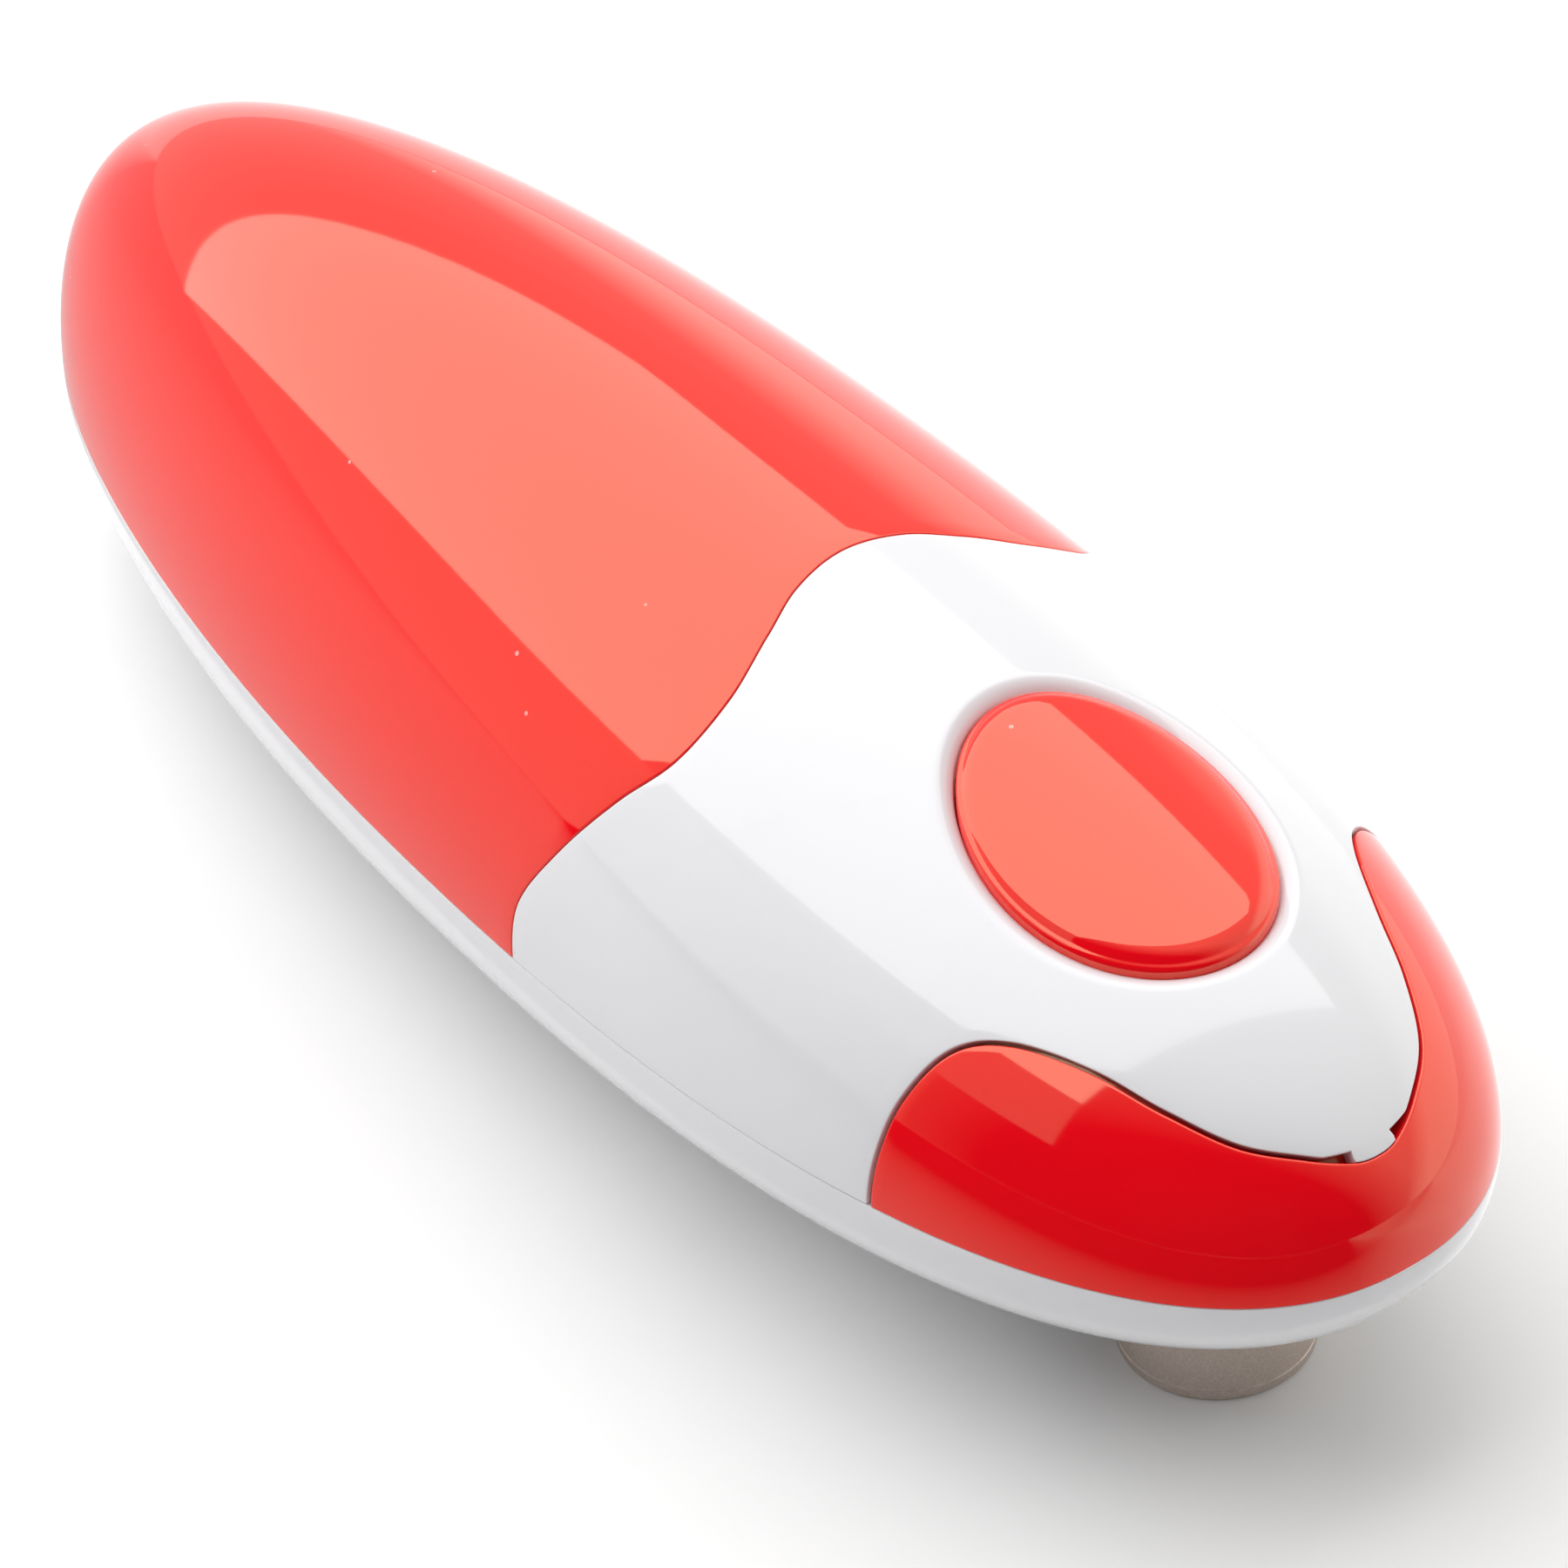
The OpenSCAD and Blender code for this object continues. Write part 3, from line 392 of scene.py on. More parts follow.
hairs = ramp(dust_group, noise(dust_group, 18.0, 1.0, stretch.outputs[0]), 0.735, 0.75)
patches = ramp(dust_group, noise(dust_group, 38.0, 1.0), 0.62, 0.7)
marks_here = maths(dust_group, "MULTIPLY", hairs, patches)
scratches = maths(dust_group, "MULTIPLY", marks_here, g_in.outputs["Amount"])
dust_group.links.new(scratches, g_out.inputs["Scratches"])
print("built", dust_group.name)

# %% [markdown]
# ### Brighter edges
# Metal rubs on its neighbours at the edges, which turn brighter and smoother. Painting them would take
# a mask for each piece. A bevel node compares a rounded normal with the true one, so the same mask
# finds the edges of any shape by itself.

# %% Brighter edges on metal
wear_group, g_in, g_out = new_group("edge_wear", [("Width", 0.0003), ("Amount", 1.0)], ["Mask"])
rounded = add_node(wear_group, "ShaderNodeBevel", {"samples": 4}, Radius=g_in.outputs["Width"])
true_normal = add_node(wear_group, "ShaderNodeNewGeometry").outputs["Normal"]
agree = add_node(wear_group, "ShaderNodeVectorMath", {"operation": "DOT_PRODUCT"},
                 i0=rounded.outputs[0], i1=true_normal).outputs["Value"]
bent = ramp(wear_group, maths(wear_group, "SUBTRACT", 1.0, agree), 0.01, 0.12)
broken = ramp(wear_group, noise(wear_group, 700.0, 3.0), 0.3, 0.6)
mask = maths(wear_group, "MULTIPLY", maths(wear_group, "MULTIPLY", bent, broken), g_in.outputs["Amount"])
wear_group.links.new(mask, g_out.inputs["Mask"])
print("built", wear_group.name)

# %% [markdown]
# ### Metal grain
# Blasting leaves an even grain, and rolling or drawing leaves grain that runs one way. Two effects
# could be made, but one input that stretches the same noise along the height gives both.

# %% Metal grain
grain_group, g_in, g_out = new_group("metal_grain", [("Scale", 2500.0), ("Stretch", 1.0)], ["Fine", "Broad"])
scale_z = add_node(grain_group, "ShaderNodeCombineXYZ", X=1.0, Y=1.0, Z=g_in.outputs["Stretch"]).outputs[0]
grain_at = add_node(grain_group, "ShaderNodeVectorMath", {"operation": "MULTIPLY"},
                    i0=place(grain_group), i1=scale_z)
fine = noise(grain_group, g_in.outputs["Scale"], 4.0, grain_at.outputs[0])
grain_group.links.new(fine, g_out.inputs["Fine"])
grain_group.links.new(noise(grain_group, 160.0, 3.0), g_out.inputs["Broad"])
print("built", grain_group.name)


# %% [markdown]
# ## Finishes
# The casing is high-gloss ABS, polished in the mould and a little wavy, with dust and hair scratches
# that lift its roughness. Inner mouldings are duller nylon and black plastic. Metals range from
# bright spring wire to the bead-blasted steel of the cutter barrel, which is grey, matt and speckled.
# One function makes every plastic and one makes every metal, each with its own numbers.

# %% Plastic finishes
def start_material(name):
    material = bpy.data.materials.new(name)
    material.use_nodes = True
    tree = material.node_tree
    shader = tree.nodes["Principled BSDF"]
    return material, tree, shader


def use_group(tree, group, **values):
    node = tree.nodes.new("ShaderNodeGroup")
    node.node_tree = group
    for key, value in values.items():
        node.inputs[key].default_value = value
    return node


def mixed(tree, factor, a, b):
    """A colour that goes from a to b with factor."""
    node = add_node(tree, "ShaderNodeMix", {"data_type": "RGBA"})
    for socket, value in zip((node.inputs[0], node.inputs[6], node.inputs[7]), (factor, a, b)):
        if isinstance(value, bpy.types.NodeSocket):
            tree.links.new(value, socket)
        else:
            socket.default_value = value if isinstance(value, float) else (*value, 1.0)
    return node.outputs[2]


def plastic(name, colour, deep, rough, coat=0.0, ior=1.5, wave=250.0, depth=0.02, dust=0.0, soft=0.0,
            shine=(1.0, 1.0, 1.0)):
    """Moulded plastic: colour drifts towards deep, and dust and scratches show on it."""
    material, tree, shader = start_material(name)
    surface = use_group(tree, moulding_group, Scale=wave, Depth=1.0)
    marks = use_group(tree, dust_group, Amount=dust, Size=1.0)
    base = mixed(tree, ramp(tree, surface.outputs["Tone"], 0.3, 0.7), colour, deep)
    pale = tuple(min(1.0, 0.35 + 0.65 * c) for c in colour)
    speck = maths(tree, "MULTIPLY", marks.outputs["Specks"], 0.8)
    tree.links.new(mixed(tree, speck, base, pale), shader.inputs["Base Color"])
    scratch = maths(tree, "MULTIPLY", marks.outputs["Scratches"], 0.6)
    marked = maths(tree, "MAXIMUM", marks.outputs["Specks"], scratch)
    drift = maths(tree, "MULTIPLY", surface.outputs["Tone"], 0.25 * rough)
    uneven = maths(tree, "ADD", drift, maths(tree, "MULTIPLY", marked, 0.3 if dust else 0.0))
    tree.links.new(maths(tree, "ADD", uneven, 0.85 * rough), shader.inputs["Roughness"])
    bump = add_node(tree, "ShaderNodeBump", Strength=0.5, Distance=depth * MM,
                    Height=surface.outputs["Height"])
    tree.links.new(bump.outputs[0], shader.inputs["Normal"])
    shader.inputs["IOR"].default_value = ior
    # shine tints every reflection; on the red casing it is a painted warm tint that stands in for the warm colour
    # of the broad light
    shader.inputs["Specular Tint"].default_value = (*shine, 1.0)
    shader.inputs["Coat Weight"].default_value = coat
    shader.inputs["Coat Roughness"].default_value = 0.02
    if soft:
        shader.inputs["Subsurface Weight"].default_value = soft
        shader.inputs["Subsurface Radius"].default_value = (1.0, 1.0, 1.0)
        shader.inputs["Subsurface Scale"].default_value = 0.6 * MM
    return material


white_abs = plastic("white_abs", (0.73, 0.73, 0.755), (0.71, 0.71, 0.735), 0.10, coat=0.5, depth=0.006,
                    dust=0.15)
# the red casing's shine is a painted warm tint on its reflections, standing in for the warm colour of the broad
# light
red_abs = plastic("red_abs", (0.90, 0.0006, 0.009), (0.85, 0.0004, 0.008), 0.05, ior=1.86, depth=0.004,
                  dust=0.5, shine=(1.0, 0.97, 0.64))
nylon = plastic("nylon", (0.72, 0.68, 0.58), (0.66, 0.62, 0.52), 0.42, wave=700.0, depth=0.02, soft=0.2)
black_plastic = plastic("black_plastic", (0.022, 0.022, 0.025), (0.03, 0.03, 0.032), 0.4, wave=1200.0,
                        depth=0.05)
wire_cover = plastic("wire_cover", (0.55, 0.01, 0.01), (0.45, 0.01, 0.01), 0.35, wave=900.0, depth=0.02)
print("plastics:", white_abs.name, red_abs.name, nylon.name, black_plastic.name, wire_cover.name)

# %% [markdown]
# ### Cell wrap and circuit board
# The cells wear dark shrink wrap with a copper coloured band at one end, and the board has green
# solder mask over raised tracks. The band could be a material on faces of its own. It is placed by
# position instead, which gives it a sharp edge on any mesh.

# %% Cell wrap and circuit board
BAND_WIDTH = 0.014           # metres, from the positive end
BAND_BLUR = 0.0002


def cell_wrap_material():
    """Shrink wrap on a cell: dark with a copper coloured band towards the positive end."""
    material, tree, shader = start_material("cell_wrap")
    x = add_node(tree, "ShaderNodeSeparateXYZ", Vector=place(tree)).outputs[0]
    band_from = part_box("battery_cells")[1][0] - BAND_WIDTH
    band = ramp(tree, x, band_from, band_from + BAND_BLUR)
    surface = use_group(tree, moulding_group, Scale=500.0, Depth=1.0)
    drift = mixed(tree, surface.outputs["Tone"], (0.018, 0.019, 0.024), (0.03, 0.03, 0.036))
    tree.links.new(mixed(tree, band, drift, (0.62, 0.30, 0.13)), shader.inputs["Base Color"])
    tree.links.new(maths(tree, "ADD", maths(tree, "MULTIPLY", surface.outputs["Tone"], 0.2), 0.16),
                   shader.inputs["Roughness"])
    tree.links.new(maths(tree, "MULTIPLY", band, 0.8), shader.inputs["Metallic"])
    bump = add_node(tree, "ShaderNodeBump", Strength=0.4, Distance=0.02 * MM,
                    Height=surface.outputs["Height"])
    tree.links.new(bump.outputs[0], shader.inputs["Normal"])
    return material


def circuit_board_material():
    """Green solder mask over copper tracks, which show as paler, slightly raised lines."""
    material, tree, shader = start_material("circuit_board")
    lines = add_node(tree, "ShaderNodeTexBrick", Vector=place(tree), Scale=160.0)
    lines.inputs["Mortar Size"].default_value = 0.06
    track = lines.outputs["Fac"]
    tone = use_group(tree, moulding_group, Scale=900.0, Depth=1.0)
    mask_colour = mixed(tree, tone.outputs["Tone"], (0.012, 0.10, 0.035), (0.018, 0.14, 0.05))
    tree.links.new(mixed(tree, track, mask_colour, (0.05, 0.26, 0.09)), shader.inputs["Base Color"])
    tree.links.new(maths(tree, "ADD", maths(tree, "MULTIPLY", tone.outputs["Tone"], 0.15), 0.2),
                   shader.inputs["Roughness"])
    bump = add_node(tree, "ShaderNodeBump", Strength=0.5, Distance=0.05 * MM, Height=track)
    tree.links.new(bump.outputs[0], shader.inputs["Normal"])
    return material


cell_wrap, circuit_board = cell_wrap_material(), circuit_board_material()
print("built", cell_wrap.name, "and", circuit_board.name)


# %% [markdown]
# ### Metals
# The metals differ in colour, in the size of their grain, in roughness and in how bright their edges
# are. Each could have its own nodes, but one function with those numbers keeps them alike. The
# barrel's blasted steel is a little less metallic than the rest, which makes it chalky and grey.

# %% Metal finishes
def metal(name, colour, dark, rough, grain=2500.0, stretch=1.0, depth=0.02, wear=0.5, metallic=1.0):
    """Metal with grain in its colour, roughness and surface, and brighter edges."""
    material, tree, shader = start_material(name)
    texture = use_group(tree, grain_group, Scale=grain, Stretch=stretch)
    edges = use_group(tree, wear_group, Width=0.25 * MM, Amount=wear)
    fine, broad = texture.outputs["Fine"], texture.outputs["Broad"]
    base = mixed(tree, ramp(tree, fine, 0.35, 0.65), dark, colour)
    base = mixed(tree, maths(tree, "MULTIPLY", broad, 0.35), base, dark)
    bright = tuple(min(1.0, 1.35 * c + 0.05) for c in colour)
    tree.links.new(mixed(tree, edges.outputs["Mask"], base, bright), shader.inputs["Base Color"])
    varied = maths(tree, "ADD", maths(tree, "MULTIPLY", fine, 0.3 * rough), 0.85 * rough)
    polish = maths(tree, "MULTIPLY", edges.outputs["Mask"], 0.3 * rough)
    tree.links.new(maths(tree, "SUBTRACT", varied, polish), shader.inputs["Roughness"])
    bump = add_node(tree, "ShaderNodeBump", Strength=0.6, Distance=depth * MM, Height=fine)
    tree.links.new(bump.outputs[0], shader.inputs["Normal"])
    shader.inputs["Metallic"].default_value = metallic
    return material


spring_steel = metal("spring_steel", (0.66, 0.66, 0.67), (0.5, 0.5, 0.52), 0.22, depth=0.005)
zinc_steel = metal("zinc_steel", (0.62, 0.63, 0.66), (0.48, 0.49, 0.53), 0.3, grain=1400.0, depth=0.01)
motor_steel = metal("motor_steel", (0.56, 0.56, 0.56), (0.44, 0.44, 0.45), 0.32, grain=900.0, stretch=0.05,
                    depth=0.01)
brass = metal("brass", (0.80, 0.58, 0.24), (0.66, 0.44, 0.16), 0.26, grain=1500.0, depth=0.01)
cutter_steel = metal("cutter_steel", (0.62, 0.61, 0.60), (0.46, 0.45, 0.44), 0.25, grain=1800.0, depth=0.015,
                     wear=0.9)
blasted_steel = metal("blasted_steel", (0.66, 0.56, 0.495), (0.52, 0.44, 0.385), 0.5, grain=4200.0,
                      depth=0.05, wear=0.6, metallic=0.75)
magnet_metal = metal("magnet", (0.30, 0.30, 0.31), (0.2, 0.2, 0.21), 0.4, grain=900.0, depth=0.01)
print("metals:", spring_steel.name, zinc_steel.name, brass.name, cutter_steel.name, blasted_steel.name)

FINISHES = {"white_abs": white_abs, "red_abs": red_abs, "nylon": nylon, "black_plastic": black_plastic,
            "wire_cover": wire_cover, "cell_wrap": cell_wrap, "circuit_board": circuit_board,
            "spring_steel": spring_steel, "zinc_steel": zinc_steel, "motor_steel": motor_steel,
            "brass": brass, "cutter_steel": cutter_steel, "blasted_steel": blasted_steel,
            "magnet": magnet_metal}


# %% [markdown]
# ## Mouldings that run to a tip
# The rear cover, the nose trim and the lower shell each run from an edge to a point of the casing.
# They are rows of points from the edge to that point, closer together where the form curves most.
# The rows nearest an edge or the parting line are sunk to round it, so that two mouldings meet in a
# fine groove, as on the real joint.

# %% One builder for all three
EDGE_R = 0.22                # rounding of an edge in a shadow gap
TIGHT_R = 0.14               # rounding of an edge in a tight joint
TIGHT_GAP = 0.10


def row_shares(rows, both_ends=False):
    t = np.linspace(0, 1, rows + 1)
    return (1 - np.cos(math.pi * t)) / 2 if both_ends else np.sin(math.pi / 2 * t)


def tip_moulding(name, edge, tip, rows, edge_r, line_r, lift, material, upper=True, edge_side=1):
    """A moulding from edge to the casing's point at x = tip, its lower rim lifted by lift."""
    n = len(edge)
    rim = quarter_steps(edge_r) if edge_r else np.array([0.0])
    rows_x = [stepped(edge, edge_side * d) if edge_r and d > 0 else edge for d in rim]
    depth_rows = [rounding(d, edge_r) if edge_r else 0.0 for d in rim]
    last = rows_x[-1]
    for share in row_shares(rows, not edge_r)[1:]:
        target = np.stack([np.full(n, float(tip)), last[:, 1]], axis=-1)
        rows_x.append(last + (target - last) * share)
        depth_rows.append(0.0)
    grid = np.array(rows_x)
    # columns next to the parting line, at fixed distances above or below it
    reach = (top_h if upper else bottom_h) * bulge(grid[:, 0, 0] / half_l, TOP if upper else BOTTOM)
    first = np.minimum(grid[:, 1, 1], math.pi / 2)
    line_steps = lift + quarter_steps(line_r)
    power = 1.0 if upper else BOTTOM_SQUARE / 2
    columns = []
    for d in line_steps:
        share = np.clip(d / np.maximum(reach, 1e-6), 0, 1) ** power
        most = first * 0.85 * (d + 0.02) / (line_steps[-1] + 0.02)
        columns.append(np.minimum(np.arcsin(share), most))
    near = np.stack([np.stack([grid[:, 0, 0], c], axis=-1) for c in columns], axis=1)
    far = near[:, ::-1] * [1, -1] + [0, math.pi]
    far[:, :, 0] = grid[:, -1, 0][:, None]
    grid = np.concatenate([near, grid[:, 1:-1], far], axis=1)
    line_depth = rounding(line_steps - lift, line_r)
    depth_cols = np.concatenate([line_depth, np.zeros(n - 2), line_depth[::-1]])
    depth = np.minimum(np.array(depth_rows)[:, None] + depth_cols[None, :], max(edge_r, line_r))
    x, angle = grid[..., 0], grid[..., 1]
    points, faces = two_skins(sunk(x, angle, depth, upper), sunk(x, angle, 0 * x + WALL, upper))
    return mesh_object(name, points, faces, material)


def settle(piece, body, slot, *replaced):
    """The piece rides on its body and stands for design nodes; the slot is not used."""
    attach(piece, body)
    if replaced:
        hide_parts(*replaced)
    print(f"{piece.name}: {len(piece.data.vertices)} points, rides on {body}")
    return piece


# %% [markdown]
# ### Rear cover
# The rear cover is the red tail that slides off to reach the cells. Its front edge follows the wavy
# seam and lies flush against the white cover, with only a hairline between them. It could be cut from
# a whole shell, but cutting leaves thin faces at the seam, so its own rows start from the seam.

# %% Rear cover
cover_front = stepped(wave, towards_tail * TIGHT_GAP)
rear_cover = tip_moulding("rear_cover_skin", cover_front, -half_l, 90, TIGHT_R, TIGHT_R, TIGHT_GAP, red_abs,
                          edge_side=towards_tail)
settle(rear_cover, "rear_cover", "red_abs", "rear_cover")

# %% [markdown]
# ### Nose trim
# The nose trim is a red moulding that wraps the nose and leaves room for the white tongue. It stands
# a little under half a millimetre off the tongue, and the gap shows a dark line with a bright edge.
# The gap could be a dark line in the material, but two edges that are really apart catch light and
# shadow from every side.

# %% Nose trim
nose_trim = tip_moulding("nose_trim_skin", trim_edge, half_l, 60, EDGE_R, TIGHT_R, TIGHT_GAP / 2, red_abs,
                         edge_side=-towards_tail)
settle(nose_trim, "casing", "red_abs", "nose_trim")


# %% [markdown]
# ### Lips under the joints
# Each joint has a lip of the neighbouring moulding below it, so that no light passes through. The
# lips are narrow strips of the same form, sunk below the covers. They could be part of the covers, but
# as strips of their own they leave the rows of the covers clean.

# %% Lips
def lip(name, edge, back, ahead, depths, material, slot):
    rows = [stepped(edge, towards_tail * d) for d in np.linspace(back, -ahead, 5)]
    grid = np.array(rows)
    x, angle = grid[..., 0], np.clip(grid[..., 1], 0.01, math.pi - 0.01)
    points, faces = two_skins(*(sunk(x, angle, 0 * x + d) for d in depths))
    return settle(mesh_object(name, points, faces, material), "casing", slot)


LIP_GAP = 0.12               # air between a cover and the lip under it
trim_line, cover_line = (both_sides(smooth_curve(knots, 60)) for knots in (TONGUE, WAVE))
lip("trim_lip", trim_line, 1.4, 1.6, (WALL + LIP_GAP, WALL + 0.9), red_abs, "red_abs")
lip("cover_lip", cover_line, 2.2, 1.8, (WALL + LIP_GAP, WALL + 1.0), white_abs, "white_abs")

# %% [markdown]
# ### White cover
# The white cover lies between the two red mouldings and holds the button. It is made as rings that
# run from its outline to the button's opening, so that both edges are clean. The opening has a soft
# rounded lead-in, which catches a red reflection of the button.

# %% White cover
button_low, button_high = (np.array(c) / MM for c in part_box("button"))
button_x = (button_low[0] + button_high[0]) / 2
FLANGE_SHARE = 1.09          # the button's hidden flange is this much wider than its cap
cap_a = (button_high[0] - button_low[0]) / 2 / FLANGE_SHARE
cap_b = (button_high[1] - button_low[1]) / 2 / FLANGE_SHARE
OPENING_GAP = 0.35
LEAD_IN = 1.75               # width of the rounded lead-in
LEAD_DROP = 1.2              # how far it drops at the opening


def on_plan(x, y):
    """Where a point in plan lies on the upper skin, as [x, angle]."""
    width = half_w * bulge(np.clip(x / half_l, -1, 1), PLAN)
    return np.stack([x, np.arccos(np.clip(-y / width, -1, 1))], axis=-1)


LINE_ROOM = TIGHT_GAP / 2
side_x = np.linspace(wave[-1, 0], tongue[-1, 0], 90)[1:-1]
side_reach = top_h * bulge(side_x / half_l, TOP)
side_angle = np.arcsin(LINE_ROOM / side_reach)
far_side = np.stack([side_x, math.pi - side_angle], axis=-1)
near_side = np.stack([side_x[::-1], side_angle[::-1]], axis=-1)
end_angle = np.arcsin(LINE_ROOM / (top_h * bulge(np.array([wave[0, 0], tongue[0, 0]]) / half_l, TOP)))
wave_in, tongue_in = wave.copy(), tongue.copy()
for curve, a in ((wave_in, end_angle[0]), (tongue_in, end_angle[1])):
    curve[:, 1] = np.clip(curve[:, 1], a, math.pi - a)
outline = np.vstack([wave_in, far_side, tongue_in[::-1], near_side])
plain_in = tongue_plain.copy()
plain_in[:, 1] = np.clip(plain_in[:, 1], end_angle[1], math.pi - end_angle[1])
plain_outline = np.vstack([wave_in, far_side, plain_in[::-1], near_side])
inward = 1 if stepped(outline, 1.0, closed=True)[5, 0] > outline[5, 0] else -1
print("outline points:", len(outline))

# %% [markdown]
# The rings could be left to a fill tool, but it leaves ragged rows where the gloss shows most. Here
# each point of the outline runs straight to its own point of the opening. The key stays in the rim
# rows, and the rings inside it start from the plain outline, so it does not print through them.

# %% Rings of the white cover
INNER_RING = 1.1             # where the rings inside the rim begin, in from the outline
RING_COUNT = 45
direction = np.arctan2((plain_outline[:, 1] - math.pi / 2) * half_w, plain_outline[:, 0] - button_x)
lead_rows = np.array([0.0, 0.05, 0.13, 0.26, 0.45, 0.7, 1.0, 1.3, 1.6, LEAD_IN])
opening_rows = [on_plan(button_x + (cap_a + OPENING_GAP + d) * np.cos(direction),
                        (cap_b + OPENING_GAP + d) * np.sin(direction)) for d in lead_rows]
lead_depth = LEAD_DROP * (1 - lead_rows / LEAD_IN) ** 2 + rounding(lead_rows, 0.13)
rim_steps = quarter_steps(TIGHT_R)
rim_rows = [outline + stepped(plain_outline, inward * d, closed=True) - plain_outline for d in rim_steps]
inner_outline = stepped(plain_outline, inward * INNER_RING, closed=True)
shares = np.linspace(0, 1, RING_COUNT + 1)[:-1]
middle = [inner_outline + (opening_rows[-1] - inner_outline) * s for s in shares]
cover_grid = np.array(rim_rows + middle + opening_rows[::-1])
cover_depth = np.concatenate([rounding(rim_steps, TIGHT_R), np.zeros(len(middle)), lead_depth[::-1]])
x, angle = cover_grid[..., 0], cover_grid[..., 1]
outer = sunk(x, angle, cover_depth[:, None] + 0 * x)
points, faces = two_skins(outer, sunk(x, angle, WALL + 0 * x), closed=True)
white_cover = mesh_object("white_cover_skin", points, faces, white_abs)
settle(white_cover, "casing", "white_abs", "mid_cover")

# %% [markdown]
# ### Button
# The button is a flat-domed oval cap with a broad rounded shoulder and a fine step just inside its
# edge. A flattened ball would be quicker, but its shoulder would be wider at the ends than at the
# sides. So the outline is lofted in rings from the crown to the skirt, which keeps it even.

# %% Button
# outline from the crown to the skirt: how far in from the edge in mm, and height over the casing
BUTTON_PROFILE = [(1.95, 0.52), (1.75, 0.50), (1.5, 0.46), (1.25, 0.39), (1.0, 0.28), (0.78, 0.14),
                  (0.6, -0.02), (0.5, -0.10), (0.42, -0.12), (0.3, -0.15), (0.2, -0.2), (0.12, -0.28),
                  (0.05, -0.38), (0.0, -0.52), (0.0, -2.7)]
CROWN = 0.2                  # extra rise at the middle
CAP_WALL = 2.2               # from the casing's line down to the underside of the cap
STEM_R = 3.5
COLLAR_OUT, COLLAR_DEEP = 2.3, 1.8   # the collar that joins the stem to the cap
ring_turn = np.linspace(0, 2 * math.pi, 161)[:-1]


def cap_ring(inset, height, share=1.0):
    """An oval of the cap, drawn on the casing's form and raised; share shrinks it to the middle."""
    px = button_x + (cap_a - inset) * share * np.cos(ring_turn)
    py = (cap_b - inset) * share * np.sin(ring_turn)
    p = on_plan(px, py)
    return skin_point(p[:, 0], p[:, 1]) + [0, 0, height]


crown_inset, crown_height = BUTTON_PROFILE[0]
cap_rings = [cap_ring(crown_inset, crown_height + CROWN * (1 - share ** 2), share)
             for share in np.linspace(0, 1, 26)[:-1]]
cap_rings += [cap_ring(inset, height) for inset, height in BUTTON_PROFILE]
skirt = cap_rings[-1]
cap_grid = np.array(cap_rings)
rows, cols = cap_grid.shape[:2]
cap_points = cap_grid.reshape(-1, 3)
cap_faces = grid_faces(rows, cols, 0, closed=True)
# flange, underside and stem, each a ring of its own
stem_low = button_low[2]
for scale, drop in ((FLANGE_SHARE, -0.1), (FLANGE_SHARE, -1.1), (0.86, -1.1), (0.84, 0.5)):
    ring = skirt.copy()
    ring[:, 0] = button_x + (ring[:, 0] - button_x) * scale
    ring[:, 1] *= scale
    ring[:, 2] += drop
    cap_points = np.vstack([cap_points, ring])
under_z = skin_point(*on_plan(np.array(button_x), np.array(0.0)))[2] - CAP_WALL
for r, z in ((STEM_R + COLLAR_OUT, under_z), (STEM_R + COLLAR_OUT, under_z - COLLAR_DEEP),
             (STEM_R, under_z - COLLAR_DEEP), (STEM_R, stem_low), (0.01, stem_low)):
    ring = np.stack([button_x + r * np.cos(ring_turn), r * np.sin(ring_turn), 0 * ring_turn + z], axis=-1)
    cap_points = np.vstack([cap_points, ring])
cap_faces += grid_faces(len(cap_points) // cols - rows + 1, cols, (rows - 1) * cols, closed=True)
button_cap = mesh_object("button_cap", cap_points, cap_faces, red_abs, sharp=50)
settle(button_cap, "button", "red_abs", "button")

# %% [markdown]
# ### Lower shell
# The lower shell carries everything. Below the nose it has a round opening that the cutter barrel
# swings in, a hole for the drive shaft and four deep wells for screws. The openings are cut with
# boolean modifiers, which suit round holes in a closed shell, and their walls stand up inside.

# %% Lower shell skin
TURRET_GAP = 0.5             # room for the barrel to swing in its opening
shell_turn = np.linspace(0, math.pi, 97)
shell_edge = np.stack([np.full(97, -half_l), shell_turn], axis=-1)
lower_shell = tip_moulding("lower_shell_skin", shell_edge, half_l, 150, 0.0, TIGHT_R, TIGHT_GAP / 2,
                           white_abs, upper=False)
joints = {j["name"]: j for j in frame["joints"]}
swing_at = np.array(joints["cutter_swing"]["pos_m"][:2]) / MM
drive_at = np.array(joints["drive_spin"]["pos_m"][:2]) / MM
barrel_low, barrel_high = (np.array(c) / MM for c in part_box("cutter_barrel"))
barrel_at = (barrel_low[:2] + barrel_high[:2]) / 2
barrel_r = (barrel_high[0] - barrel_low[0]) / 2
throw = float(np.linalg.norm(barrel_at - swing_at))
turret_r = barrel_r + throw + TURRET_GAP
bush_r = (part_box("shaft_bush")[1][0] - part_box("shaft_bush")[0][0]) / MM / 2
print(f"barrel radius {barrel_r:.2f}, throw {throw:.2f}, opening radius {turret_r:.2f} mm")


# %% [markdown]
# ### Round openings
# A hole for a shaft, a screw or the barrel is a true circle, drilled or moulded over a pin. It could
# be drawn into the rows of the skin, but that would bend them out of line. A turned peg is cut out
# instead, and the places of the screws are read from the design, one for each separate solid.

# %% Round openings
def islands(node):
    """Lowest and highest corner of each separate solid in a design node, in millimetres."""
    bm = bmesh.new()
    bm.from_mesh(nodes[node].data)
    bmesh.ops.remove_doubles(bm, verts=bm.verts, dist=1e-6)
    seen, boxes = set(), []
    for start in bm.verts:
        if start in seen:
            continue
        stack, group = [start], []
        seen.add(start)
        while stack:
            v = stack.pop()
            group.append(v.co)
            for e in v.link_edges:
                o = e.other_vert(v)
                if o not in seen:
                    seen.add(o)
                    stack.append(o)
        co = np.array(group) / MM
        boxes.append((co.min(0), co.max(0)))
    bm.free()
    return boxes


